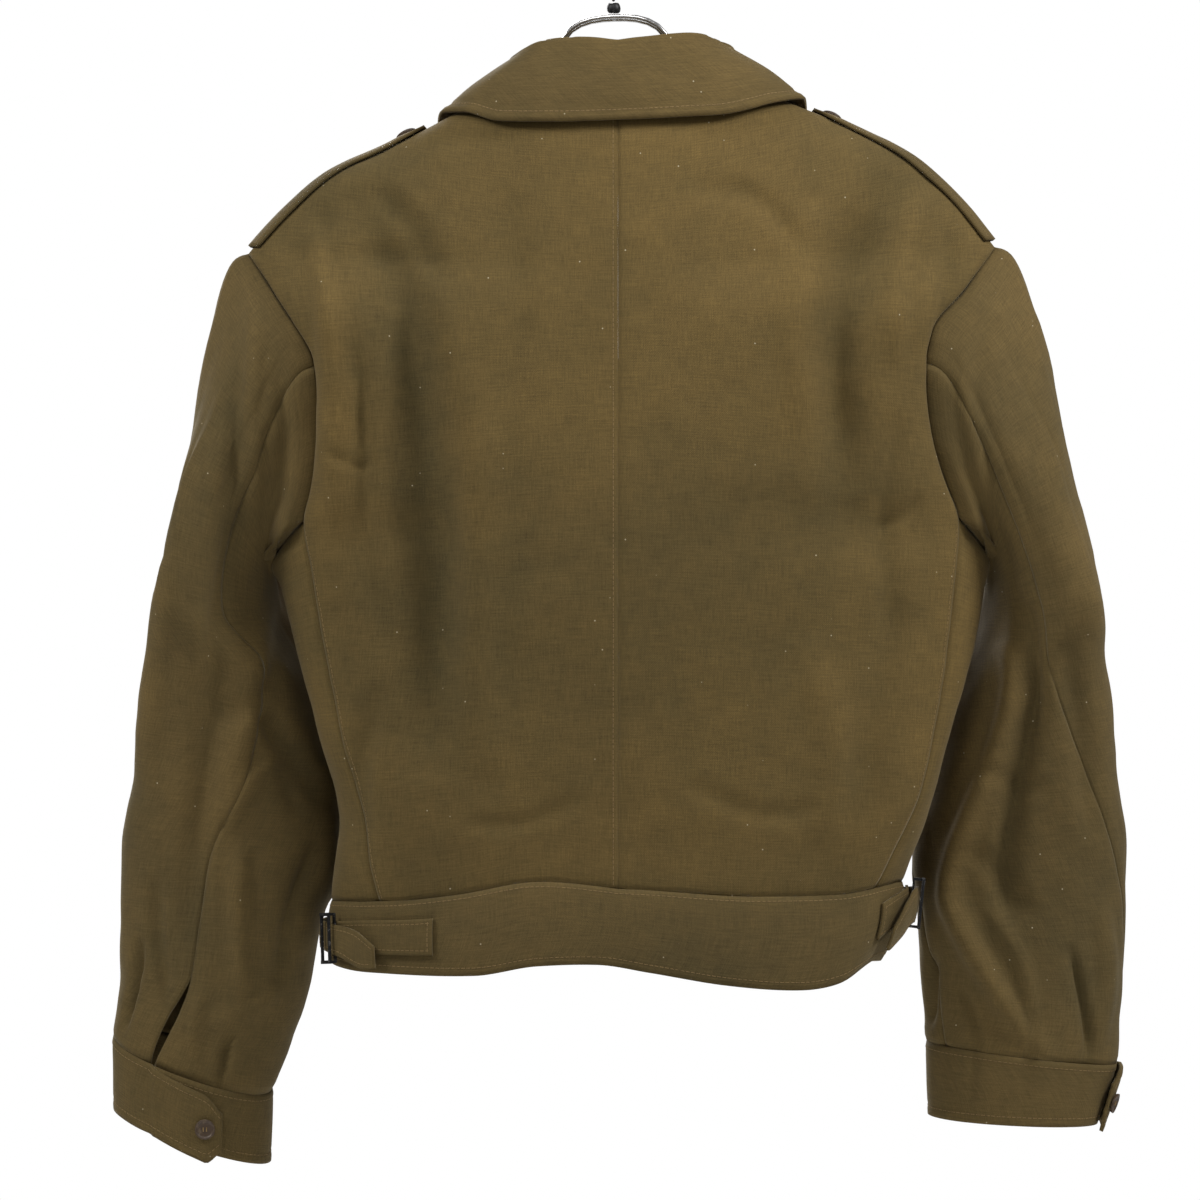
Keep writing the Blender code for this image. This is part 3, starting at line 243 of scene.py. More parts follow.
sleeveFolds = {
    "left": (
        crease(15, -6.5, (240, -262), (239, -322), (241, -372), (245, -422), (256, -509), (266, -603),
               (272, -666)),
        crease(12, 4.0, (222, -430), (227, -472), (233, -522), (248, -572)),
        crease(11, -6.0, (226, -517), (204, -545), (184, -585)),
        crease(5, -2.5, (301, -659), (305, -697), (311, -722)),
        crease(5, -2.5, (246, -722), (252, -758)),
        crease(9, 2.5, (214, -690), (232, -706), (258, -712))),
    "right": (
        crease(13, 5.0, (-245, -472), (-250, -500), (-242, -534), (-229, -572), (-211, -622), (-217, -653),
               (-245, -703), (-276, -741)),
        crease(13, -5.5, (-258, -447), (-262, -509), (-250, -572), (-245, -622), (-253, -656)),
        crease(4, -2.0, (-201, -672), (-198, -719)),
        crease(6, -2.5, (-286, -666), (-298, -722), (-294, -744)))}

sleeveFrontFolds = {
    "left": (
        crease(15, -5.0, (262, -300), (268, -372), (262, -450), (250, -520)),
        crease(10, -4.0, (232, -500), (262, -528), (292, -540)),
        crease(14, -4.5, (262, -560), (250, -620), (262, -690))),
    "right": (
        crease(15, -5.0, (-268, -300), (-280, -372), (-272, -450), (-262, -520)),
        crease(10, -4.0, (-240, -506), (-268, -532), (-304, -540)),
        crease(14, -4.5, (-270, -570), (-262, -640), (-272, -700)))}

# Sleeve rings below the armhole: centre, half sizes, how far they slope, seam angles from outward to back
sleeveRings = {
    "left": Chart("row x y z across deep rise lean swing elbow forearm",
        (6, 249, -26, -450, 30, 70, 0.20, -0.04, 0.36, 136, 250),
        (8, 243, -32, -490, 45, 64, 0.18, -0.04, 0.38, 140, 246),
        (10, 241, -36, -528, 56, 58, 0.16, -0.04, 0.34, 122, 242),
        (12, 243, -38, -566, 62, 52, 0.12, -0.03, 0.22, 103, 238),
        (14, 247, -41, -606, 67, 48, 0.06, -0.02, 0.10, 87, 230),
        (16, 252, -41, -650, 63, 44, 0.04, -0.04, 0.0, 80, 228),
        (18, 257, -39, -692, 58, 41, 0.14, -0.12, 0.0, 77, 226),
        (20, 270, -36, -740, 50, 37, 0.34, -0.28, 0.0, 64, 214)),
    "right": Chart("row x y z across deep rise lean swing elbow forearm",
        (6, 263, -26, -450, 30, 70, 0.20, -0.04, 0.36, 125, 250),
        (8, 257, -32, -490, 43, 64, 0.18, -0.04, 0.38, 101, 236),
        (10, 255, -36, -528, 53, 58, 0.14, -0.04, 0.34, 81, 216),
        (12, 256, -38, -566, 59, 52, 0.10, -0.03, 0.22, 57, 202),
        (14, 257, -41, -606, 65, 47, 0.04, -0.02, 0.10, 37, 186),
        (16, 257, -42, -650, 65, 43, 0.00, -0.04, 0.0, 10, 164),
        (18, 257, -41, -690, 63, 39, -0.06, -0.06, 0.0, -4, 150),
        (20, 257, -38, -734, 60, 35, -0.12, -0.08, 0.0, -10, 144))}

# Cuffs: the ring of the bottom edge like a sleeve ring, and how far the buttoned end laps and droops
cuffRings = {
    "left": dict(ring=((270, -36, -786), 49, 36, 0.34, -0.2, 0.0), lap=34, droop=9),
    "right": dict(ring=((251, -38, -776), 53, 31, -0.05, -0.12, 0.0), lap=30, droop=6)}

# Collar: fold and outer edge from the centre back (0) past the shoulder (12) to the front end (21)
collarShape = {
    "left": Chart("column foldX foldY foldZ edgeX edgeY edge_z",
        (0, 0, 33, -96, 0, 46.5, -146),
        (4, 26, 31, -94, 38, 45, -147),
        (8, 50, 24, -97, 76, 37, -146),
        (10, 61, 14, -102, 96, 24, -140),
        (12, 68, 0, -108, 111, 0, -139),
        (15, 68, -20, -126, 114, -30, -150),
        (18, 62, -36, -148, 106, -52, -173),
        (21, 56, -46, -172, 92, -61, -196)),
    "right": Chart("column foldX foldY foldZ edgeX edgeY edge_z",
        (0, 0, 33, -96, 0, 46.5, -146),
        (4, 26, 31, -93, 40, 45, -144),
        (8, 52, 24, -92, 78, 37, -140),
        (10, 65, 14, -96, 101, 24, -133),
        (12, 73, 0, -101, 118, 0, -130),
        (15, 71, -20, -120, 119, -30, -146),
        (18, 64, -36, -145, 108, -52, -170),
        (21, 56, -46, -172, 92, -61, -196))}

# Lapels: row of the front and how far the turned cloth reaches out from the roll line
lapelShape = ((16.3, 3), (18, 24), (20, 44), (22, 62), (23.4, 74), (25, 48), (26.6, 8))
lapelStart = {"left": 16.3, "right": 17.5}
lapelInner = {"left": ((16, 0), (27, 0)), "right": ((17.5, 14), (18.3, 9), (19.2, 4), (20, 0))}
lapelEnd = 26.6

# Shoulder straps: reach over the back and the front of the ridge along the rows of the shoulder
strapShape = ((21.1, 15, 35), (24.4, 13, 33), (25.5, 11, 31), (26.1, -4, 14))

# Hip straps: steps along each with the reach from the centre back, top, bottom and lift off the band
hipPatch = {
    "left": ((0, 116, 0.26, 0.74, 3.2), (6, 160, 0.26, 0.74, 3.2), (10, 194, 0.30, 0.78, 3.4)),
    "right": ((0, 172, 0.20, 0.66, 3.2), (5, 200, 0.10, 0.56, 3.2), (9, 220, 0.04, 0.50, 3.4))}
hipStrap = {
    "left": ((0, 286, 0.26, 0.70, 2.5), (6, 225, 0.27, 0.72, 3.6), (9, 196, 0.31, 0.76, 7.8),
             (11, 184, 0.33, 0.78, 8.6), (15, 158, 0.50, 0.95, 9.0), (16, 152, 0.62, 0.93, 9.0)),
    "right": ((0, 300, 0.10, 0.54, 2.5), (6, 248, 0.08, 0.53, 3.6), (9, 222, 0.06, 0.52, 9.8),
              (11, 206, 0.08, 0.53, 9.9), (15, 184, 0.40, 0.84, 10.2), (16, 179, 0.54, 0.82, 10.2))}
# Lesser creases of the soft cloth, over the main folds
backCreases = (
    crease(46, -8.0, (152, -222), (143, -280), (136, -340), (130, -400), (122, -480), (118, -560)),
    crease(15, 4.5, (188, -214), (178, -290), (176, -350), (170, -410)),
    crease(30, -4.8, (-160, -206), (-146, -250), (-138, -300), (-142, -372), (-150, -430)),
    crease(9, -3.7, (190, -196), (176, -240), (166, -300), (160, -360)),
    crease(13, -4.4, (152, -188), (128, -214), (110, -250)),
    crease(12, 4.4, (141, -262), (151, -330), (147, -400), (136, -470)),
    crease(22, 4.1, (96, -300), (84, -380), (92, -470), (84, -560)),
    crease(18, -2.7, (70, -188), (64, -260), (72, -330)),
    crease(5, -2.7, (181, -352), (165, -362), (150, -360)),
    crease(14, -4.8, (150, -500), (162, -560), (160, -610)),
    crease(11, 4.8, (-196, -186), (-178, -236), (-172, -300)),
    crease(18, 3.4, (-120, -200), (-112, -270), (-120, -340)),
    crease(12, -3.1, (-60, -184), (-92, -200), (-118, -232)),
    crease(14, -3.7, (-176, -330), (-166, -400), (-172, -470)),
    crease(6, -2.7, (-190, -380), (-176, -396), (-160, -402)),
    crease(18, 3.4, (-120, -470), (-134, -540), (-128, -600)),
    crease(10, -2.0, (-40, -560), (-90, -580), (-128, -574)),
    crease(10, -2.0, (20, -570), (60, -590), (100, -586)))
frontCreases = (
    crease(10, -3.4, (186, -202), (170, -250), (160, -310)),
    crease(20, 3.7, (96, -300), (84, -380), (96, -470), (88, -560)),
    crease(12, -3.1, (120, -230), (112, -300), (120, -350)),
    crease(10, 3.7, (-182, -196), (-168, -250), (-160, -310)),
    crease(20, 3.4, (-90, -310), (-80, -400), (-92, -500)),
    crease(10, -2.4, (-60, -560), (-96, -580), (-124, -570)),
    crease(14, -2.7, (40, -500), (66, -560), (60, -610)))
sleeveCreases = {
    "left": (
        crease(8, 4.1, (236, -236), (228, -276), (232, -330), (228, -384)),
        crease(14, 3.7, (262, -250), (268, -310), (272, -380), (280, -440)),
        crease(8, -3.4, (214, -300), (208, -340), (214, -390)),
        crease(12, -3.0, (214, -490), (232, -512), (258, -524)),
        crease(12, 3.4, (206, -540), (228, -556), (250, -590)),
        crease(14, 4.1, (286, -420), (294, -500), (300, -570)),
        crease(9, -5.1, (190, -600), (206, -640), (216, -690)),
        crease(10, 4.4, (238, -600), (240, -650), (236, -700)),
        crease(9, -4.4, (292, -620), (290, -670), (280, -716)),
        crease(6, 3.4, (262, -690), (268, -720), (264, -750)),
        crease(11, -4.2, (222, -519), (212, -550), (200, -584)),
        crease(16, 4.5, (187, -545), (180, -590), (184, -640)),
        crease(6, -3.6, (301, -659), (305, -697), (311, -722)),
        crease(5, -3.0, (246, -722), (249, -740), (252, -756))),
    "right": (
        crease(8, -3.4, (-236, -230), (-230, -280), (-222, -330)),
        crease(16, 4.1, (-262, -260), (-270, -340), (-276, -400)),
        crease(9, 3.4, (-214, -300), (-222, -340), (-232, -390)),
        crease(14, -4.4, (-280, -470), (-292, -540), (-300, -600)),
        crease(11, -2.6, (-228, -548), (-250, -562), (-274, -566)),
        crease(12, -3.4, (-222, -600), (-246, -626), (-264, -650)),
        crease(7, 3.4, (-234, -640), (-256, -676), (-262, -716)),
        crease(5, -3.4, (-216, -690), (-226, -716), (-224, -744)),
        crease(9, 3.7, (-306, -640), (-310, -690), (-304, -730)),
        crease(5, -3.1, (-254, -700), (-262, -724), (-258, -744)),
        crease(9, 3.8, (-245, -472), (-250, -500), (-242, -534), (-229, -572), (-211, -622), (-217, -653),
               (-245, -703), (-276, -741)),
        crease(9, -4.2, (-258, -447), (-262, -509), (-249, -572), (-242, -622), (-251, -656)),
        crease(14, 4.0, (-192, -575), (-187, -605), (-192, -640)),
        crease(6, -3.6, (-201, -672), (-200, -697), (-198, -719)),
        crease(6, -3.6, (-286, -666), (-298, -722), (-294, -744)))}
sleeveFrontCreases = {
    "left": (
        crease(10, 4.1, (238, -260), (232, -330), (240, -400)),
        crease(7, -4.4, (226, -486), (250, -500), (280, -498)),
        crease(8, 3.7, (236, -560), (262, -566), (290, -584)),
        crease(10, -4.1, (286, -600), (292, -660), (284, -716)),
        crease(8, 3.4, (230, -640), (224, -690), (232, -730)),
        crease(16, 4.5, (187, -545), (180, -590), (184, -640))),
    "right": (
        crease(10, 4.1, (-240, -256), (-236, -330), (-246, -400)),
        crease(7, -4.4, (-232, -486), (-256, -502), (-288, -500)),
        crease(8, 3.7, (-240, -566), (-270, -572), (-296, -590)),
        crease(10, -4.1, (-292, -600), (-300, -660), (-290, -716)),
        crease(8, 3.4, (-236, -646), (-232, -690), (-240, -730)),
        crease(14, 4.0, (-192, -575), (-187, -605), (-192, -640)))}


def relief(x, z, folds):  # height of the folds at many places at once
    height = np.zeros_like(x)
    for fold in folds:
        if "smooth" not in fold:
            fold["smooth"] = refine(np.array(fold["line"], float), 3)
        line, wide = fold["smooth"], fold["wide"]
        low, high = line.min(axis=0) - wide, line.max(axis=0) + wide
        if x.max() < low[0] or x.min() > high[0] or z.max() < low[1] or z.min() > high[1]:
            continue
        lengths = np.hypot(*np.diff(line, axis=0).T)
        passed = np.concatenate([[0.0], np.cumsum(lengths)])
        best, along = np.full(x.shape, 1e9), np.zeros_like(x)
        for i, length in enumerate(lengths):
            run = line[i + 1] - line[i]
            t = np.clip(((x - line[i][0]) * run[0] + (z - line[i][1]) * run[1]) / length ** 2, 0, 1)
            away = np.hypot(x - line[i][0] - t * run[0], z - line[i][1] - t * run[1])
            along = np.where(away < best, (passed[i] + t * length) / passed[-1], along)
            best = np.minimum(best, away)
        fade = np.clip(np.minimum(4 * along, 4 * (1 - along)), 0, 1) ** 0.6
        height += fold["high"] * fade * 0.5 * (1 + np.cos(np.pi * np.clip(best / fold["wide"], 0, 1)))
    return height


def refine(points, count, axis=0):  # smooth steps between the points of a line or grid
    p = np.moveaxis(np.asarray(points, float), axis, 0)
    ends = np.concatenate([[2 * p[0] - p[1]], p, [2 * p[-1] - p[-2]]])
    out = []
    for i in range(len(p) - 1):
        a, b, c, d = ends[i:i + 4]
        for j in range(count):
            t = j / count
            out.append(0.5 * (2 * b + (c - a) * t + (2 * a - 5 * b + 4 * c - d) * t * t
                              + (3 * b - a - 3 * c + d) * t ** 3))
    out.append(p[-1])
    return np.moveaxis(np.array(out), 0, axis)


def spread(count):
    return np.arange(count + 1) / count


def unit(vectors):
    return vectors / np.maximum(np.linalg.norm(vectors, axis=-1, keepdims=True), 1e-9)


def bezierRow(a, b, c, d, us):
    t = np.asarray(us, float)[:, None]
    s = 1 - t
    points = s ** 3 * a + 3 * s * s * t * b + 3 * s * t * t * c + t ** 3 * d
    slopes = 3 * s * s * (b - a) + 6 * s * t * (c - b) + 3 * t * t * (d - c)
    return points, unit(np.stack([-slopes[:, 1], slopes[:, 0], np.zeros(len(t))], axis=1))


def railEnd(rail, shoulder, row):
    x, y, z, turn, pull = rail.at(row) if row <= shoulderRow else shoulder.at(row)
    return np.array([x, y, z]), math.radians(turn), pull


def settle(points, side, row):  # drop to the waist seam, mirror, and shift on the hanger
    sign = 1 if side == "left" else -1
    points = points.copy()
    if row < 5:
        level = waistLine.at(sign * points[:, 0])[:, 0]
        points[:, 2] += (level - waistLevel + 6 * np.minimum(points[:, 0] / 150, 1)) * (1 - ease(row / 5))
    points[:, 0] = sign * points[:, 0] + hangShift
    return points


def calmAt(row):
    return ease((neckRow - row) / 4) * ease(row / 2.5)


def backRow(side, us, row, lift=0.0):
    sign = 1 if side == "left" else -1
    y, z, pull = centreBack.at(row)
    start = np.array([0.0, y, z])
    end, turn, hold = railEnd(backRail[side], shoulderRail[side], row)
    heading = np.array([math.cos(turn), -math.sin(turn), 0.0])
    pull = min(pull, 0.45 * end[0])
    points, out = bezierRow(start, start + np.array([pull, 0, 0]), end - hold * heading, end, us)
    height = relief(sign * points[:, 0], points[:, 2], backFolds + backCreases) * calmAt(row)
    return settle(points + out * (height + lift)[:, None], side, row)


def frontRow(side, us, row, lift=0.0):
    sign = 1 if side == "left" else -1
    x, y, z, pull = centreFront.at(row)
    start = np.array([x, y, z])
    end, turn, hold = railEnd(frontRail[side], frontShoulder[side], row)
    heading = np.array([math.cos(turn), math.sin(turn), 0.0])
    pull = min(pull, 0.45 * (end[0] - x))
    points, out = bezierRow(start, start + np.array([pull, 0, 0]), end - hold * heading, end, us)
    height = relief(sign * points[:, 0], points[:, 2], frontFolds + frontCreases) * calmAt(row)
    if side == "left":
        height += lapLift * ease((lapReach + lapEase - points[:, 0]) / lapEase) * ease((22 - row) / 4)
    return settle(points - out * (height + lift)[:, None], side, row)


def sideRow(side, us, row):
    sign = 1 if side == "left" else -1
    start, turn = railEnd(backRail[side], shoulderRail[side], row)[:2]
    end, turnFront = railEnd(frontRail[side], frontShoulder[side], row)[:2]
    back, front, dip = sideBow[side].at(row)

    def sink(place, folds):
        return relief(np.array([sign * place[0]]), np.array([place[2]]), folds)[0] * calmAt(row)

    start = start + np.array([math.sin(turn), math.cos(turn), 0]) * sink(start, backFolds + backCreases)
    outFront = np.array([math.sin(turnFront), -math.cos(turnFront), 0])
    end = end + outFront * sink(end, frontFolds + frontCreases)
    one = start + np.array([back * math.cos(turn), -back * math.sin(turn), dip])
    two = end + np.array([front * math.cos(turnFront), front * math.sin(turnFront), dip])
    points, out = bezierRow(start, one, two, end, us)
    return settle(points, side, row)


def backPoint(side, u, row, lift=0.0):
    return backRow(side, [u], row, np.array([lift]))[0]


def frontPoint(side, u, row, lift=0.0):
    return frontRow(side, [u], row, np.array([lift]))[0]


def armhole(side, c, part):  # a place on the armhole, in columns of the sleeve
    if part == "over":
        if c <= 9:
            return backPoint(side, 1.0, elbowRow + c / 3)
        return frontPoint(side, 1.0, shoulderRow - (c - 9))
    if c <= 5:
        return backPoint(side, 1.0, elbowRow - c)
    if c <= 10:
        return sideRow(side, [(c - 5) / 5], pitRow)[0]
    return frontPoint(side, 1.0, pitRow + c - 10)


def ringPoint(centre, across, deep, rise, lean, swing, angle, side):
    out, back = math.cos(angle), math.sin(angle)
    x = centre[0] + across * math.copysign(abs(out) ** 0.92, out)
    y = centre[1] + deep * math.copysign(abs(back) ** 0.92, back)
    x += swing * (y - centre[1])
    z = centre[2] + rise * (x - centre[0]) + lean * (y - centre[1])
    return np.array([(1 if side == "left" else -1) * x + hangShift, y, z])


def angleAlong(part, c, elbow, forearm):
    if part == "over":
        share = np.interp(c, (0, 9, overColumns), (0, 0.52, 1))
        return math.radians(elbow - share * (360 - forearm + elbow))
    share = np.interp(c, (0, 5, 10, underColumns), (0, 0.40, 0.90, 1))
    return math.radians(elbow + share * (forearm - elbow))


def sleevePlaces():
    places = [("over", c / fine) for c in range(overColumns * fine + 1)]
    return places + [("under", c / fine) for c in range(underColumns * fine - 1, 0, -1)]


def sleeveRing(side):  # one closed grid: over the arm from the elbow seam, then back under it
    rings = sleeveRings[side]
    top = armhole(side, 9, "over")[2]
    bottom = min(armhole(side, c, "under")[2] for c in range(underColumns + 1))
    sign = 1 if side == "left" else -1
    grid = []
    for part, c in sleevePlaces():
        root = armhole(side, c, part)
        push = np.array([sign * 0.85, 0.16 * root[1] / 45, -0.35 - 0.1 * (root[2] - bottom) / (top - bottom)])
        column = [root, root + push * 12]
        for values in rings.values:
            column.append(ringPoint(values[:3], *values[3:8], angleAlong(part, c, *values[8:10]), side))
        grid.append(column)
    flat = np.array(grid).transpose(1, 0, 2)
    keys = [0, 1] + list(rings.keys)
    rows = Chart("row points", *[(key, *row.ravel()) for key, row in zip(keys, flat)])
    return rows.at(np.arange(sleeveRows * fine + 1) / fine).reshape(-1, len(grid), 3)


def ringNormals(points):
    down = np.gradient(points, axis=0)
    across = np.roll(points, -1, axis=1) - np.roll(points, 1, axis=1)
    normals = unit(np.cross(across, down))
    middle = len(points) // 2
    test = points[middle][0] - points[middle].mean(axis=0)
    return normals if np.dot(normals[middle][0], test) > 0 else -normals


ventLook = dict(row=17.6, rows=2.9, columns=5, open=6, lift=3)  # the open end of the elbow seam


def shapeSleeve(side):
    base = sleeveRing(side)
    normals = ringNormals(base)
    rows = (np.arange(len(base)) / fine)[:, None]
    calm = ease(rows / 3) * ease((sleeveRows - rows + 1) / 2)
    x, z = base[..., 0] - hangShift, base[..., 2]
    seen = ease(0.5 + 1.6 * normals[..., 1])
    height = relief(x, z, sleeveFolds[side] + sleeveCreases[side]) * seen
    height += relief(x, z, sleeveFrontFolds[side] + sleeveFrontCreases[side]) * (1 - seen)
    shut = base + normals * (height * calm)[..., None]
    width = ventLook["columns"] * fine
    gape = np.sin(np.pi * np.clip((rows - ventLook["row"]) / ventLook["rows"], 0, 1))
    gape = gape * (1 - np.arange(width) / width) ** 1.5
    toward = unit(shut[:, width] - shut[:, 0])
    outward = ringNormals(shut)[:, :width]
    opened = shut.copy()
    opened[:, :width] += (toward[:, None] * ventLook["open"] + outward * ventLook["lift"]) * gape[..., None]
    over = opened[:, :overColumns * fine + 1]
    under = np.concatenate([shut[:, :1], shut[:, :overColumns * fine - 1:-1]], axis=1)
    return over, under


def shapeCuff(side, over, under):
    shape = cuffRings[side]
    last = sleeveRings[side].values[-1]
    tops = list(over) + list(under[-2::-1])
    angles = [angleAlong("over", c / fine, *last[8:10]) for c in range(overColumns * fine + 1)]
    angles += [angleAlong("under", c / fine, *last[8:10]) for c in range(underColumns * fine - 1, -1, -1)]
    middle = np.mean(tops, axis=0)
    columns = []
    for k in np.arange(4 * fine, 0, -1) / fine:
        angle = angles[0] + k / 4 * shape["lap"] / (0.5 * (last[3] + last[4]))
        top = ringPoint(last[:3], *last[3:8], angle, side)
        low = ringPoint(*shape["ring"], angle, side)
        outward = unit((top - middle) * (1, 1, 0))
        shift = outward * (3.4 + 0.5 * k) - np.array([0, 0, shape["droop"] * k / 4])
        high, low, point = top + shift, low + shift, 0.16 * ease((k - 3) / 1)
        columns.append((high + (low - high) * point, low + (high - low) * point * 1.6))
    for i, (top, angle) in enumerate(zip(tops, angles)):
        low = ringPoint(*shape["ring"], angle, side)
        low = low + unit((top - middle) * (1, 1, 0)) * 2 * ease(1 - i / fine / 3)
        columns.append((top, low))
    return np.array([[top + (low - top) * h for top, low in columns] for h in 1 - spread(3 * fine)])


def bandDrop(point, h):  # h of the way down the waistband under a point of the waist seam
    x = point[0] - hangShift
    back = ease((point[1] + 40) / 80)
    hem = hemLine.at(x)[0] * back + frontHem * (1 - back)
    curl = ease((-x - 125) / 60) * 15
    outward = unit(np.array([point[0], 2.2 * point[1], 0.0]))
    low = point + np.array([curl * h * h, 0.0, (hem - point[2]) * h])
    return low + outward * 1.5 * math.sin(math.pi * h)


def bandRing(step):
    ring = list(sideRow("right", spread(sideColumns * step)[::-1], 0))
    ring += list(backRow("right", spread(backColumns * step)[::-1], 0))[1:]
    ring += list(backRow("left", spread(backColumns * step), 0))[1:]
    return ring + list(sideRow("left", spread(sideColumns * step), 0))[1:]


def bandPlace(side, reach, h, lift):
    ring = bandRing(1)
    middle = sideColumns + backColumns
    path = ring[middle:] if side == "left" else ring[middle::-1]
    path = np.array(path + list(frontRow(side, 1 - spread(frontColumns), 0))[1:])
    lengths = np.linalg.norm(np.diff(path, axis=0), axis=1)
    passed = np.concatenate([[0.0], np.cumsum(lengths)])
    i = int(np.clip(np.searchsorted(passed, reach, side="right") - 1, 0, len(lengths) - 1))
    along = (path[i + 1] - path[i]) / lengths[i]
    point = path[i] + along * (reach - passed[i])
    outward = unit(np.array([along[1], -along[0], 0.0]))
    if np.dot(outward, point - np.array([hangShift, 0, point[2]])) < 0:
        outward = -outward
    return bandDrop(point, h) + outward * lift


def strapOnBand(side, table):
    chart = Chart("step reach top bottom lift", *table)
    rows = []
    for i in range(int(table[-1][0]) + 1):
        reach, top, bottom, lift = chart.at(i)
        rows.append([bandPlace(side, reach, bottom + (top - bottom) * c / 3, lift) for c in range(4)])
    return refine(refine(np.array(rows).transpose(1, 0, 2), 4), 4, axis=1)


def collarColumn(side, column):
    if column <= backColumns:
        neck = backPoint(side, column / backColumns, neckRow)
    else:
        neck = frontPoint(side, 1 - (column - backColumns) / frontColumns, neckRow)
    values = collarShape[side].at(column)
    sign = 1 if side == "left" else -1
    fold, edge = values[:3] * (sign, 1, 1) + (hangShift, 0, 0), values[3:] * (sign, 1, 1) + (hangShift, 0, 0)
    level = unit((edge - fold) * (1, 1, 0))
    down = np.array([0, 0, -1.0])
    inner, outer = fold - level * 2.8 + down * 2.8, fold + level * 2.8 + down * 2.8
    return [neck, neck + (inner - neck) * 0.5, inner, fold, outer,
            outer + (edge - outer) * 0.5 + (level * 0.5 - down * 0.5) * 3, edge]


def surfaceNormal(rowOf, side, u, row):
    low, high = max(u - 0.01, 0.0), min(u + 0.01, 1.0)
    ends = rowOf(side, [low, high], row)
    rise = rowOf(side, [u], row + 0.05)[0] - rowOf(side, [u], row - 0.05)[0]
    normal = unit(np.cross(ends[1] - ends[0], rise))
    away = rowOf(side, [u], row)[0] - np.array(bodyCentre)
    return normal if np.dot(normal, away) > 0 else -normal


def walk(rowOf, side, row, start, reach):  # the share of a row at a length along the cloth
    steps = start + (1 - 2 * start) * np.arange(81) / 80
    lengths = np.linalg.norm(np.diff(rowOf(side, steps, row), axis=0), axis=1)
    return float(np.interp(reach, np.concatenate([[0.0], np.cumsum(lengths)]), steps))


def shapeLapel(side):
    lift = wool / 2 + seamGap + foldedWool / 2 + 0.9
    rows = []
    for row in np.linspace(lapelStart[side], lapelEnd, 12):
        reach = float(np.interp(row, *zip(*lapelShape)))
        hidden = float(np.interp(row, *zip(*lapelInner[side])))
        line = []
        for c in range(5):
            u = walk(frontRow, side, row, 0.0, hidden + (reach - hidden) * c / 4)
            normal = surfaceNormal(frontRow, side, u, row)
            line.append(frontPoint(side, u, row) + normal * (lift + 1.5 * math.sin(math.pi * c / 4)))
        rows.append(line[::-1])
    return refine(refine(np.array(rows), 5), 5, axis=1)


def shapeShoulderStrap(side):
    lift = wool / 2 + seamGap + strapWool / 2 + 1.1
    rows = []
    for row in np.linspace(strapShape[0][0], strapShape[-1][0], 10):
        back = float(np.interp(row, [r[0] for r in strapShape], [r[1] for r in strapShape]))
        front = float(np.interp(row, [r[0] for r in strapShape], [r[2] for r in strapShape]))
        ridge = unit(surfaceNormal(backRow, side, 1.0, row) + surfaceNormal(frontRow, side, 1.0, row))
        line = []
        for c in range(7):
            across = back - (back + front) * c / 6
            rowOf = backRow if across >= 0 else frontRow
            u = walk(rowOf, side, row, 1.0, max(abs(across), 0.01))
            share = ease(abs(across) / 14)
            normal = unit(ridge * (1 - share) + surfaceNormal(rowOf, side, u, row) * share)
            line.append(rowOf(side, [u], row)[0] + normal * lift)
        rows.append(line)
    return refine(refine(np.array(rows), 5), 3, axis=1)


def placePiece(label, body, material, node, replaced=True):  # a finished piece that stands for a solid
    mesh = bpy.data.meshes.new(label)
    body.to_mesh(mesh)
    body.free()
    mesh.materials.append(material)
    piece = bpy.data.objects.new(label, mesh)
    bpy.context.scene.collection.objects.link(piece)
    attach(piece, "root")
    if replaced:
        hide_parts(node)
    return piece


# Cloth shells

sheets = {}


def edgeRuns(points):  # how far each place lies from the four edges, along the cloth
    across = np.linalg.norm(np.diff(points, axis=1), axis=2)
    left = np.concatenate([np.zeros((len(points), 1)), np.cumsum(across, axis=1)], axis=1)
    upward = np.linalg.norm(np.diff(points, axis=0), axis=2)
    low = np.concatenate([np.zeros((1, points.shape[1])), np.cumsum(upward, axis=0)], axis=0)
    return {"left": left, "right": left[:, -1:] - left, "bottom": low, "top": low[-1:] - low}


def gridNormals(points, inside):
    normals = unit(np.cross(np.gradient(points, axis=1), np.gradient(points, axis=0)))
    r, c = len(points) * 2 // 3, points.shape[1] // 2
    return normals if np.dot(normals[r][c], points[r][c] - np.array(inside)) > 0 else -normals


def ripple(points, size, seed):  # slow uneven swell of the cloth
    flat = points.reshape(-1, 3) / size
    heights = [noise.noise(Vector((p[0], p[1] + seed, p[2]))) for p in flat]
    return np.array(heights).reshape(points.shape[:2])


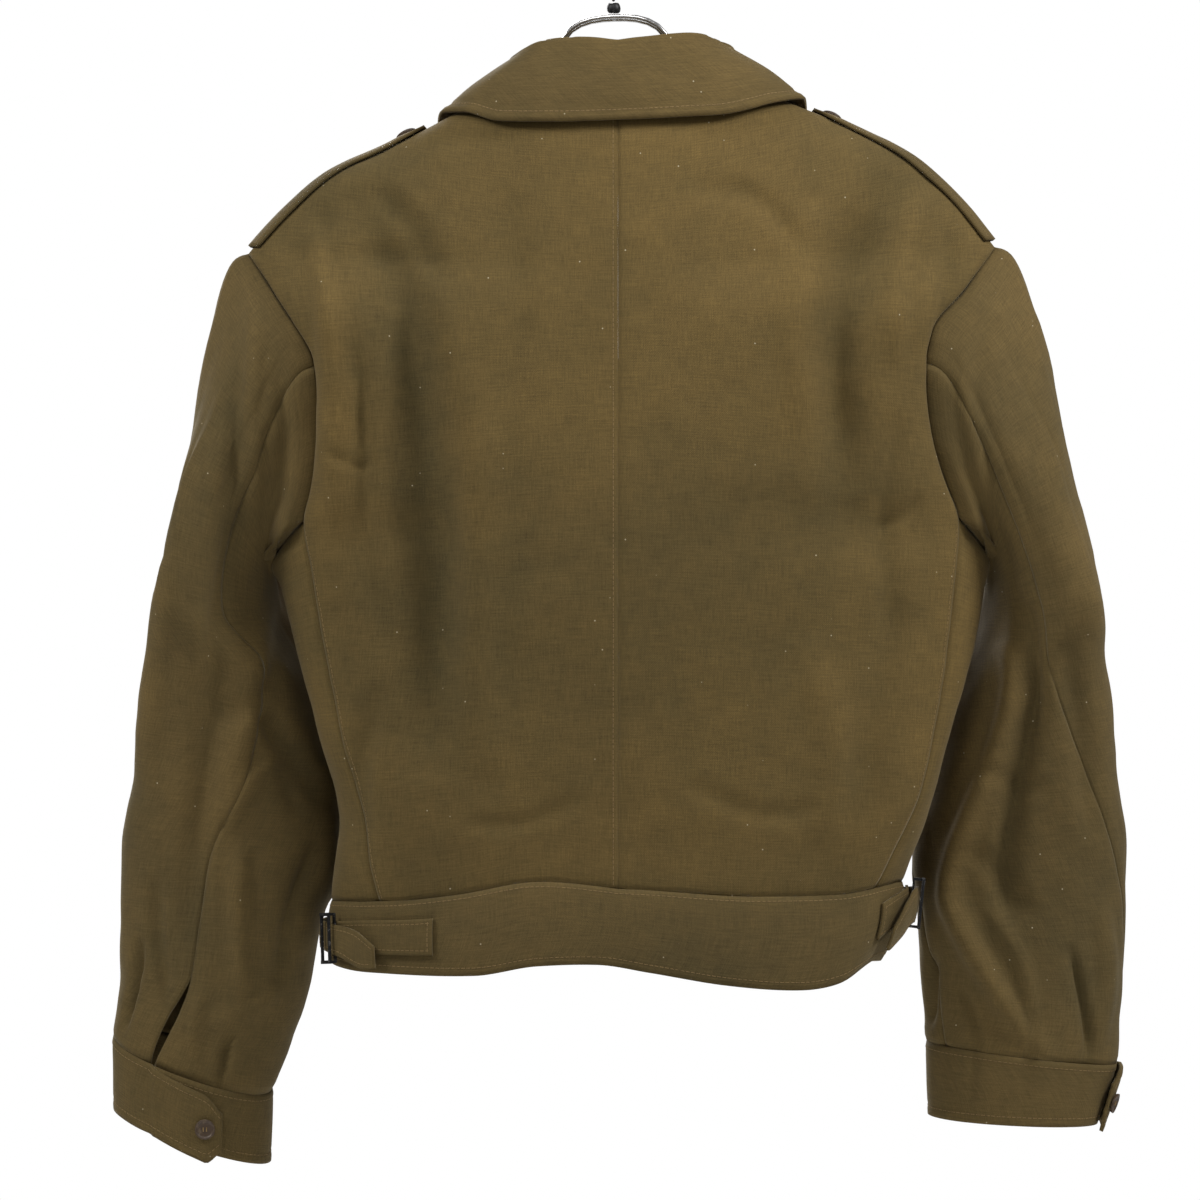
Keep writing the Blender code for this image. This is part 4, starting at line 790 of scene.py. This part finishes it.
def makeSheet(name, points, thick, material, inside, seams="", stitched=(), swell=0.8, folds=()):
    # seams names the sewn edges, stitched gives edge, inset and depth of a row of sewing, and folds with the
    # swell set the painted shade in hollows and painted light on ridges
    normals = gridNormals(points, inside)
    runs = edgeRuns(points)
    height = swell * (ripple(points, 46.0, 3.7) + 0.5 * ripple(points, 19.0, 8.1))
    for edge in seams.split():
        height -= 0.9 * np.exp(-(runs[edge] / 2.6) ** 2)
    for edge, inset, depth in stitched:
        pucker = 1 + 0.5 * ripple(points, 5.0, 1.3)
        height -= depth * pucker * np.exp(-((runs[edge] - inset) / 1.3) ** 2)
        height += 0.5 * depth * np.exp(-((runs[edge] - inset * 0.45) / (0.4 * inset)) ** 2)
    shaped = points + normals * height[..., None]
    whole = slice(None)
    for line, inner in (((0, whole), (1, whole)), ((-1, whole), (-2, whole)),
                        ((whole, 0), (whole, 1)), ((whole, -1), (whole, -2))):
        shaped[line] += unit(shaped[inner] - shaped[line]) * seamGap / 2
    rows, columns = points.shape[:2]
    body = bmesh.new()
    bmesh.ops.create_grid(body, x_segments=columns - 1, y_segments=rows - 1, size=1.0)
    layer = body.loops.layers.uv.new("cloth")
    # painted light and shade: the fold heights and the swell go into the colour, so raised cloth is painted
    # lighter and hollows and seams painted darker
    lay = body.verts.layers.float.new("lay")
    shadeFromRelief = relief(points[..., 0] - hangShift, points[..., 2], folds) / 6 + 0.5 * height
    spots = {}
    for vertex in body.verts:
        c = round((vertex.co.x + 1) / 2 * (columns - 1))
        r = round((vertex.co.y + 1) / 2 * (rows - 1))
        spots[vertex.index] = (runs["left"][r][c] * mm, runs["bottom"][r][columns // 2] * mm)
        vertex.co = Vector(shaped[r][c] * mm)
        vertex[lay] = float(shadeFromRelief[r][c])
    for face in body.faces:
        face.smooth = True
        for loop in face.loops:
            loop[layer].uv = spots[loop.vert.index]
    body.faces.ensure_lookup_table()
    face = body.faces[(rows * 2 // 3) * (columns - 1) + columns // 2]
    face.normal_update()
    if face.normal.dot(face.calc_center_median() - Vector(np.array(inside) * mm)) < 0:
        bmesh.ops.reverse_faces(body, faces=body.faces[:])
    piece = placePiece(name + "_cloth", body, material, name)
    wall = piece.modifiers.new("wall", "SOLIDIFY")
    wall.thickness, wall.offset, wall.use_rim = thick * mm, 0.0, True
    sheets[name] = dict(piece=piece, points=shaped, normals=gridNormals(shaped, inside), thick=thick)


# Materials

def link(tree, source, target):
    tree.links.new(source, target)


def newGroup(name, inputs, outputs):
    group = bpy.data.node_groups.new(name, "ShaderNodeTree")
    for label, kind, value in inputs:
        socket = group.interface.new_socket(name=label, in_out="INPUT", socket_type=kind)
        if value is not None:
            socket.default_value = value
    for label, kind in outputs:
        group.interface.new_socket(name=label, in_out="OUTPUT", socket_type=kind)
    return group, group.nodes.new("NodeGroupInput"), group.nodes.new("NodeGroupOutput")


def addNode(tree, kind, feeds=None, **values):  # feeds gives each input the output that it reads
    node = tree.nodes.new("ShaderNode" + kind)
    for key, value in values.items():
        if key.startswith("in_"):
            label = key[3:].replace("_", " ")
            node.inputs[int(label) if label.isdigit() else label].default_value = value
        else:
            setattr(node, key, value)
    for key, source in (feeds or {}).items():
        tree.links.new(source, node.inputs[key])
    return node


def sergeGroup():  # twill rib, uneven yarns and loose fibre on the cloth's own map
    group, entry, leave = newGroup(
        "sergeWeave", [("Cloth Place", "NodeSocketVector", None), ("Rib", "NodeSocketFloat", 900.0)],
        [("Yarn", "NodeSocketFloat"), ("Height", "NodeSocketFloat")])
    yarns = []
    for stretch, detail in (((1300.0, 70.0, 1.0), 2.0), ((60.0, 1100.0, 1.0), 2.0)):
        scale = addNode(group, "Mapping", {"Vector": entry.outputs["Cloth Place"]}, in_Scale=stretch)
        yarn = addNode(group, "TexNoise", {"Vector": scale.outputs["Vector"]}, in_Scale=1.0,
                       in_Detail=detail, in_Roughness=0.6)
        yarns.append(yarn.outputs["Fac"])
    cross = addNode(group, "Math", {0: yarns[0], 1: yarns[1]}, operation="ADD")
    grain = addNode(group, "TexNoise", {"Vector": entry.outputs["Cloth Place"]}, in_Scale=850.0,
                    in_Detail=3.0, in_Roughness=0.7)
    both = addNode(group, "Math", {0: cross.outputs[0], 1: grain.outputs["Fac"]}, operation="ADD")
    third = addNode(group, "Math", {0: both.outputs[0]}, operation="MULTIPLY", in_1=0.3333)
    parts = addNode(group, "SeparateXYZ", {0: entry.outputs["Cloth Place"]})
    slope = addNode(group, "Math", {0: parts.outputs["X"], 2: parts.outputs["Y"]}, operation="MULTIPLY_ADD",
                    in_1=0.8)
    turns = addNode(group, "Math", {0: slope.outputs[0], 1: entry.outputs["Rib"]}, operation="MULTIPLY")
    phase = addNode(group, "Math", {0: turns.outputs[0]}, operation="MULTIPLY", in_1=2 * math.pi)
    rib = addNode(group, "Math", {0: phase.outputs[0]}, operation="SINE")
    raised = addNode(group, "Math", {0: rib.outputs[0], 2: third.outputs[0]}, operation="MULTIPLY_ADD",
                     in_1=0.12)
    link(group, third.outputs[0], leave.inputs["Yarn"])
    link(group, raised.outputs[0], leave.inputs["Height"])
    return group


def fadeAndShadeGroup():  # slow fading and dust from handling, with painted shade in the hollows and painted light on the ridges of the cloth, in the object's own space
    group, entry, leave = newGroup(
        "fadeAndReliefShade", [("Place", "NodeSocketVector", None), ("Lay", "NodeSocketFloat", 0.0)],
        [("Fade", "NodeSocketFloat"), ("Fleck", "NodeSocketFloat")])
    patches = addNode(group, "TexNoise", {"Vector": entry.outputs["Place"]}, in_Scale=7.0, in_Detail=4.0,
                      in_Roughness=0.55)
    small = addNode(group, "TexNoise", {"Vector": entry.outputs["Place"]}, in_Scale=70.0, in_Detail=3.0,
                    in_Roughness=0.6)
    mixed = addNode(group, "Math", {0: small.outputs["Fac"], 2: patches.outputs["Fac"]},
                    operation="MULTIPLY_ADD", in_1=0.3)
    # painted light and shade: the relief input lightens the ridges and darkens the hollows
    mottleAndShade = addNode(group, "Math", {0: entry.outputs["Lay"], 2: mixed.outputs[0]}, operation="MULTIPLY_ADD",
                   in_1=0.10)
    ramp = addNode(group, "MapRange", {"Value": mottleAndShade.outputs[0]}, in_From_Min=0.12, in_From_Max=1.12)
    link(group, ramp.outputs["Result"], leave.inputs["Fade"])
    lint = addNode(group, "TexVoronoi", {"Vector": entry.outputs["Place"]}, in_Scale=210.0)
    near = addNode(group, "MapRange", {"Value": lint.outputs["Distance"]}, in_From_Min=0.13, in_From_Max=0.05)
    pick = addNode(group, "SeparateColor", {0: lint.outputs["Color"]})
    few = addNode(group, "Math", {0: pick.outputs[0]}, operation="GREATER_THAN", in_1=0.965)
    fleck = addNode(group, "Math", {0: near.outputs["Result"], 1: few.outputs[0]}, operation="MULTIPLY")
    link(group, fleck.outputs[0], leave.inputs["Fleck"])
    return group


# fade mixes slow fading with painted shade and painted light from the cloth's relief
serge, fade = sergeGroup(), fadeAndShadeGroup()


def newMaterial(name):
    material = bpy.data.materials.new(name)
    material.use_nodes = True
    return material, material.node_tree, material.node_tree.nodes["Principled BSDF"]


def woolMaterial(name, deep, pale, ribCount=900.0, bump=0.35):
    material, tree, shader = newMaterial(name)
    place = addNode(tree, "TexCoord")
    ownMap = addNode(tree, "UVMap", uv_map="cloth")
    lay = addNode(tree, "Attribute", attribute_name="lay")
    weave = addNode(tree, "Group", node_tree=serge)
    weave.inputs["Rib"].default_value = ribCount
    link(tree, ownMap.outputs["UV"], weave.inputs["Cloth Place"])
    fadeShadeAndLint = addNode(tree, "Group", {"Place": place.outputs["Object"], "Lay": lay.outputs["Fac"]},
                   node_tree=fade)
    # Colour runs from deep to pale with random fading, and with painted shade in the hollows and painted
    # light on the ridges
    tint = addNode(tree, "Mix", {0: fadeShadeAndLint.outputs["Fade"]}, data_type="RGBA", in_6=(*deep, 1), in_7=(*pale, 1))
    ramp = addNode(tree, "MapRange", {"Value": weave.outputs["Yarn"]}, in_From_Min=0.36, in_From_Max=0.64,
                   in_To_Min=0.72, in_To_Max=1.3)
    yarn = addNode(tree, "VectorMath", {0: tint.outputs[2], "Scale": ramp.outputs["Result"]},
                   operation="SCALE")
    lint = addNode(tree, "Mix", {0: fadeShadeAndLint.outputs["Fleck"], 6: yarn.outputs["Vector"]}, data_type="RGBA",
                   in_7=(0.42, 0.36, 0.24, 1))
    link(tree, lint.outputs[2], shader.inputs["Base Color"])
    rough = addNode(tree, "MapRange", {"Value": fadeShadeAndLint.outputs["Fade"]}, in_To_Min=0.98, in_To_Max=0.84)
    link(tree, rough.outputs["Result"], shader.inputs["Roughness"])
    raised = addNode(tree, "Bump", {"Height": weave.outputs["Height"]}, in_Strength=bump, in_Distance=0.0006)
    link(tree, raised.outputs["Normal"], shader.inputs["Normal"])
    shader.inputs["Sheen Weight"].default_value = 0.15
    shader.inputs["Sheen Roughness"].default_value = 0.35
    shader.inputs["Sheen Tint"].default_value = (0.80, 0.70, 0.48, 1)
    shader.inputs["Specular IOR Level"].default_value = 0.25
    return material


def hardMaterial(name, colour, metallic, low, high, wornColour, wornFrom, grain):
    material, tree, shader = newMaterial(name)
    place = addNode(tree, "TexCoord")
    spots = addNode(tree, "TexNoise", {"Vector": place.outputs["Object"]}, in_Scale=grain, in_Detail=5.0,
                    in_Roughness=0.65)
    ramp = addNode(tree, "MapRange", {"Value": spots.outputs["Fac"]}, in_From_Min=wornFrom,
                   in_From_Max=wornFrom + 0.1)
    tint = addNode(tree, "Mix", {0: ramp.outputs["Result"]}, data_type="RGBA", in_6=(*colour, 1),
                   in_7=(*wornColour, 1))
    link(tree, tint.outputs[2], shader.inputs["Base Color"])
    rough = addNode(tree, "MapRange", {"Value": spots.outputs["Fac"]}, in_From_Min=0.3, in_From_Max=0.7,
                    in_To_Min=low, in_To_Max=high)
    link(tree, rough.outputs["Result"], shader.inputs["Roughness"])
    raised = addNode(tree, "Bump", {"Height": spots.outputs["Fac"]}, in_Strength=0.15, in_Distance=0.0002)
    link(tree, raised.outputs["Normal"], shader.inputs["Normal"])
    shader.inputs["Metallic"].default_value = metallic
    return material


# The sleeve and trim wool is the body's wool made a little darker, painted shade for the sleeves and cuffs
# that hang away from the light
bodyWool = woolMaterial("bodyWool", (0.046, 0.038, 0.015), (0.152, 0.096, 0.027))
sleeveWool = woolMaterial("sleeveWool", (0.046, 0.038, 0.016), (0.146, 0.094, 0.029))
trimWool = woolMaterial("trimWool", (0.046, 0.038, 0.016), (0.134, 0.087, 0.027), ribCount=820.0, bump=0.45)
threadMaterial = hardMaterial("sewingThread", (0.21, 0.135, 0.05), 0.0, 0.7, 0.9, (0.12, 0.08, 0.03), 0.5,
                              900.0)
buttonMaterial = hardMaterial("brownButton", (0.055, 0.032, 0.016), 0.0, 0.35, 0.6, (0.10, 0.065, 0.035),
                              0.55, 260.0)
buckleMaterial = hardMaterial("wornBlackSteel", (0.018, 0.018, 0.019), 0.6, 0.35, 0.65, (0.26, 0.25, 0.24),
                              0.58, 420.0)
chromeMaterial = hardMaterial("hangerChrome", (0.62, 0.61, 0.60), 1.0, 0.10, 0.24, (0.45, 0.44, 0.42), 0.68,
                              160.0)
print("materials made")


# Body panels, each a curved wall of cloth from the waist seam to the neck

bodyLook = dict(swell=1.0)
allEdges = "left right bottom top"

for side in ("left", "right"):
    rowSteps = np.arange(neckRow * fine + 1) / fine
    back = np.array([backRow(side, spread(backColumns * fine), row) for row in rowSteps])
    makeSheet("back_" + side, back, wool, bodyWool, bodyCentre, seams=allEdges,
              stitched=(("left", 3.5, 0.25), ("bottom", 4, 0.2)), swell=bodyLook["swell"],
              folds=backFolds + backCreases)
    flankSteps = np.arange(pitRow * fine + 1) / fine
    flank = np.array([sideRow(side, spread(sideColumns * fine), row) for row in flankSteps])
    makeSheet("side_" + side, flank, wool, bodyWool, bodyCentre, seams=allEdges, swell=bodyLook["swell"])
    front = np.array([frontRow(side, 1 - spread(frontColumns * fine), row) for row in rowSteps])
    makeSheet("front_" + side, front, wool, bodyWool, bodyCentre, seams="left bottom",
              stitched=(("right", 6, 0.3),), swell=bodyLook["swell"], folds=frontFolds + frontCreases)
print("body panels made")

# Sleeves in two parts, with their cuffs

sleeveLook = dict(swell=1.3)

for side in ("left", "right"):
    over, under = shapeSleeve(side)
    middle = (over[forearmRow * fine].mean(axis=0) + under[forearmRow * fine].mean(axis=0)) / 2
    for part, grid in (("upper_sleeve_", over), ("under_sleeve_", under)):
        makeSheet(part + side, grid[::-1], wool, sleeveWool, middle, seams=allEdges,
                  swell=sleeveLook["swell"], folds=sleeveFolds[side] + sleeveCreases[side])
    cuff = shapeCuff(side, over[-1], under[-1])
    makeSheet("cuff_" + side, cuff, foldedWool, trimWool, cuff.mean(axis=(0, 1)), seams="top",
              stitched=(("bottom", 6, 0.35), ("top", 5, 0.3)), swell=0.6)
print("sleeves made")

# Waistband round the hem

bandLook = dict(stitched=(("top", 4, 0.3), ("bottom", 5, 0.3)), swell=0.5, seams="top")
bandMiddle = (hangShift, 0, -650)
heights = 1 - spread(15)
band = np.array([[bandDrop(p, h) for p in bandRing(fine)] for h in heights])
makeSheet("waistband_back", band, foldedWool, trimWool, bandMiddle, **bandLook)
for side in ("left", "right"):
    us = spread(frontColumns * fine)
    line = frontRow(side, 1 - us if side == "left" else us, 0)
    part = np.array([[bandDrop(p, h) for p in line] for h in heights])
    makeSheet("waistband_front_" + side, part, foldedWool, trimWool, bandMiddle, **bandLook)
print("waistband made")

# Collar, lapels and straps

steps = np.arange(0, (backColumns + frontColumns) * fine + 1) / fine
columns = [collarColumn("right", c) for c in steps[::-1][:-1]] + [collarColumn("left", c) for c in steps]
collar = refine(np.array(columns).transpose(1, 0, 2), 7)
makeSheet("collar", collar, foldedWool, trimWool, (hangShift, 0, -140), seams="bottom",
          stitched=(("top", 6.5, 0.9),), swell=1.5)
for side in ("left", "right"):
    makeSheet("lapel_" + side, shapeLapel(side), foldedWool, trimWool, bodyCentre,
              stitched=(("left", 6, 0.5),), swell=0.5)
    makeSheet("shoulder_strap_" + side, shapeShoulderStrap(side), strapWool, trimWool, bodyCentre,
              stitched=(("left", 5, 0.3), ("right", 5, 0.3)), swell=0.4)
    makeSheet("hip_patch_" + side, strapOnBand(side, hipPatch[side]), strapWool, trimWool,
              (hangShift, 0, -655), swell=0.2)
    makeSheet("hip_strap_" + side, strapOnBand(side, hipStrap[side]), strapWool, trimWool,
              (hangShift, 0, -655), swell=0.4)
print("collar, lapels and straps made")

# Rows of sewing

threadLook = dict(length=2.4, step=3.3, wide=0.42, high=0.3)


def insetLine(name, edge, inset, start=0.0, end=1.0):  # a line on a sheet, inset from one of its edges
    sheet = sheets[name]
    points, normals = sheet["points"], sheet["normals"]
    if edge in ("top", "bottom"):
        points, normals = points.transpose(1, 0, 2), normals.transpose(1, 0, 2)
    if edge in ("top", "right"):
        points, normals = points[:, ::-1], normals[:, ::-1]
    line = []
    for row, across in zip(points, normals):
        runs = np.concatenate([[0.0], np.cumsum(np.linalg.norm(np.diff(row, axis=0), axis=1))])
        place = [np.interp(inset, runs, row[:, k]) for k in range(3)]
        facing = unit(np.array([np.interp(inset, runs, across[:, k]) for k in range(3)]))
        line.append((np.array(place) + facing * (sheet["thick"] / 2 + 0.05), facing))
    count = len(line) - 1
    return line[int(count * start):int(count * end) + 1]


def sewRow(body, line):
    points = np.array([p for p, n in line])
    facings = np.array([n for p, n in line])
    runs = np.concatenate([[0.0], np.cumsum(np.linalg.norm(np.diff(points, axis=0), axis=1))])
    for at in np.arange(threadLook["step"], runs[-1] - threadLook["step"], threadLook["step"]):
        ends = [np.array([np.interp(at + s, runs, points[:, k]) for k in range(3)])
                for s in (-threadLook["length"] / 2, threadLook["length"] / 2)]
        facing = unit(np.array([np.interp(at, runs, facings[:, k]) for k in range(3)]))
        along = unit(ends[1] - ends[0])
        across = unit(np.cross(facing, along))
        facing = np.cross(along, across)
        turn = Matrix((along * threadLook["length"] * mm, across * threadLook["wide"] * mm,
                       facing * threadLook["high"] * mm)).transposed().to_4x4()
        turn.translation = Vector((ends[0] + ends[1]) / 2 * mm)
        bmesh.ops.create_cube(body, size=1.0, matrix=turn)


def sewing(name, lines, node):
    body = bmesh.new()
    for line in lines:
        sewRow(body, line)
    bmesh.ops.recalc_face_normals(body, faces=body.faces[:])
    placePiece(name, body, threadMaterial, node, replaced=False)


sewing("collar_sewing", [insetLine("collar", "top", 6.5)], "collar")
sewing("centre_back_sewing", [insetLine("back_left", "left", 3.0)], "back_left")
waistRows = (("back", "top", 3.0), ("back", "bottom", 5.0), ("front_left", "bottom", 5.0),
             ("front_right", "bottom", 5.0), ("front_left", "top", 3.0), ("front_right", "top", 3.0))
sewing("waist_sewing", [insetLine("waistband_" + part, edge, inset) for part, edge, inset in waistRows],
       "waistband_back")
for side in ("left", "right"):
    cuff, strap = "cuff_" + side, "shoulder_strap_" + side
    sewing("cuff_sewing_" + side, [insetLine(cuff, "top", 4.0), insetLine(cuff, "bottom", 5.5)], cuff)
    sewing("side_seam_sewing_" + side, [insetLine("back_" + side, "right", 3.0, 0.0, 0.46)], "back_" + side)
    sewing("front_edge_sewing_" + side, [insetLine("front_" + side, "right", 6.0, 0.0, 0.56),
                                         insetLine("lapel_" + side, "left", 6.0)], "front_" + side)
    sewing("shoulder_strap_sewing_" + side, [insetLine(strap, edge, 4.5) for edge in ("left", "right")],
           strap)
    sewing("hip_sewing_" + side, [insetLine("hip_patch_" + side, e, 3.0) for e in ("left", "top", "bottom")]
           + [insetLine("hip_strap_" + side, e, 3.0) for e in ("top", "bottom")], "hip_strap_" + side)
print("sewing made")

# Hard pieces: copies of the solids with their doubles merged and their edges eased

hardLook = {
    "buckle_left": (buckleMaterial, 0.35), "buckle_right": (buckleMaterial, 0.35),
    "hook": (chromeMaterial, 0), "hanger_wire": (chromeMaterial, 0),
    "hanger_bridge": (chromeMaterial, 0), "hanger_ferrule": (buckleMaterial, 0)}

for name, (material, bevel) in hardLook.items():
    body = bmesh.new()
    body.from_mesh(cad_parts[name].data)
    bmesh.ops.remove_doubles(body, verts=body.verts[:], dist=0.00001)
    if bevel:
        bmesh.ops.dissolve_limit(body, angle_limit=math.radians(2), verts=body.verts[:], edges=body.edges[:])
    else:
        bmesh.ops.join_triangles(body, faces=body.faces[:], angle_face_threshold=math.radians(60),
                                 angle_shape_threshold=math.radians(60))
    for face in body.faces:
        face.smooth = True
    piece = placePiece(name + "_finished", body, material, name)
    if bevel:
        piece.data.set_sharp_from_angle(angle=math.radians(40))
        eased = piece.modifiers.new("eased", "BEVEL")
        eased.width, eased.segments, eased.limit_method = bevel * mm, 2, "ANGLE"
        eased.angle_limit = math.radians(40)
    else:
        rounded = piece.modifiers.new("rounded", "SUBSURF")
        rounded.levels = rounded.render_levels = 1

# Buttons: a dished disc with a rim, sewn on by two bars of thread
# Widths are shares of the radius and depths are shares of the thickness

buttonLook = dict(rim=0.16, slope=0.12, slopeDepth=0.3, dish=0.3, dishDepth=0.05, edge=0.06,
                  threadLength=0.42)


def makeButton(name):
    low, high = [Vector(corner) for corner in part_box(name)]
    middle = (low + high) / 2
    body = bmesh.new()
    body.from_mesh(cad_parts[name].data)
    bmesh.ops.remove_doubles(body, verts=body.verts[:], dist=0.00001)
    points = np.array([v.co for v in body.verts]) - np.array(middle)
    axis = Vector(np.linalg.svd(points)[2][2])
    cloth = Vector((hangShift * mm, 0, middle.z)) if "strap" not in name else middle - Vector((0, 0, 1))
    if "cuff" in name:
        cloth = Vector(np.array(sheets[name.replace("button_", "")]["points"]).mean(axis=(0, 1)) * mm)
    if axis.dot(middle - cloth) < 0:
        axis.negate()
    depths = points @ np.array(axis)
    thick = depths.max() - depths.min()
    radius = np.linalg.norm(points - np.outer(depths, np.array(axis)), axis=1).max()
    body.free()
    turn = axis.to_track_quat("Z", "Y").to_matrix().to_4x4()
    turn.translation = middle
    disc = bmesh.new()
    bmesh.ops.create_cone(disc, cap_ends=True, segments=36, radius1=radius * 0.9, radius2=radius,
                          depth=thick * 0.8)
    disc.faces.ensure_lookup_table()
    top = max(disc.faces, key=lambda f: f.calc_center_median().z)
    for share, sunk in (("rim", 0.0), ("slope", buttonLook["slopeDepth"]), ("dish", buttonLook["dishDepth"])):
        bmesh.ops.inset_individual(disc, faces=[top], thickness=radius * buttonLook[share],
                                   depth=-thick * sunk)
    edges = [e for e in disc.edges if len(e.link_faces) == 2 and e.calc_face_angle() > 0.6]
    bmesh.ops.bevel(disc, geom=edges, offset=radius * buttonLook["edge"], offset_type="OFFSET",
                    affect="EDGES",
                    segments=2, profile=0.5, material=-1)
    disc.transform(turn)
    for face in disc.faces:
        face.smooth = True
    placePiece(name + "_finished", disc, buttonMaterial, name)
    knot = bmesh.new()
    for x in (-1, 1):
        place = Matrix.Translation((x * radius * 0.16, 0, thick * 0.12))
        size = Matrix.Diagonal((0.0007, radius * buttonLook["threadLength"], 0.0007, 1))
        bmesh.ops.create_cube(knot, size=1.0, matrix=turn @ place @ size)
    placePiece(name + "_thread", knot, threadMaterial, name, replaced=False)


for name in ("cuff_button_left", "cuff_button_right", "strap_button_left", "strap_button_right"):
    makeButton(name)
print("hanger, buckles and buttons made")

# Camera, pale floor and soft light

cameraLook = dict(target=(0.00625, 0.05, -0.447), distance=6.0, wide=0.752)

camera = bpy.data.objects.new("camera", bpy.data.cameras.new("camera"))
camera.location = Vector(cameraLook["target"]) + Vector((0, cameraLook["distance"], 0))
camera.rotation_euler = (math.radians(90), 0, math.radians(180))
camera.data.sensor_width = 36
camera.data.lens = 36 * cameraLook["distance"] / cameraLook["wide"]
bpy.context.scene.collection.objects.link(camera)
bpy.context.scene.camera = camera

ground = bmesh.new()
bmesh.ops.create_circle(ground, cap_ends=True, segments=64, radius=1.4,
                        matrix=Matrix.Translation((0, 0.1, -1.25)))
floorMesh = bpy.data.meshes.new("floor")
ground.to_mesh(floorMesh)
ground.free()
floor = bpy.data.objects.new("floor", floorMesh)
bpy.context.scene.collection.objects.link(floor)
paleFloor, tree, shader = newMaterial("paleFloor")
shader.inputs["Base Color"].default_value = (0.82, 0.82, 0.81, 1)
shader.inputs["Roughness"].default_value = 0.8
floorMesh.materials.append(paleFloor)

lampLook = {
    "keyLamp": ((-1.35, 0.62, 0.72), 0.5, 27.0), "fillLamp": ((1.45, 0.66, 0.78), 0.5, 21.0),
    "frontLamp": ((0.6, -2.2, 0.6), 1.4, 60.0), "topLamp": ((0.1, 1.2, 0.85), 0.7, 8.0)}

for name, (spot, size, power) in lampLook.items():
    lamp = bpy.data.objects.new(name, bpy.data.lights.new(name, "AREA"))
    lamp.location = spot
    lamp.rotation_euler = (Vector((0, 0, -0.45)) - Vector(spot)).to_track_quat("-Z", "Y").to_euler()
    lamp.data.size, lamp.data.energy = size, power
    bpy.context.scene.collection.objects.link(lamp)

world = bpy.data.worlds.new("studio")
world.use_nodes = True
sky = world.node_tree.nodes["Background"]
sky.inputs["Color"].default_value = (1.0, 1.0, 1.0, 1)
sky.inputs["Strength"].default_value = 1.0
shade = addNode(world.node_tree, "Background", in_Color=(1.0, 1.0, 1.0, 1), in_Strength=0.26)
seen = addNode(world.node_tree, "LightPath")
either = addNode(world.node_tree, "MixShader",
                 {0: seen.outputs["Is Camera Ray"], 1: shade.outputs[0], 2: sky.outputs[0]})
link(world.node_tree, either.outputs[0], world.node_tree.nodes["World Output"].inputs["Surface"])
bpy.context.scene.world = world
bpy.context.scene.view_settings.view_transform = "Standard"

print("stage set")
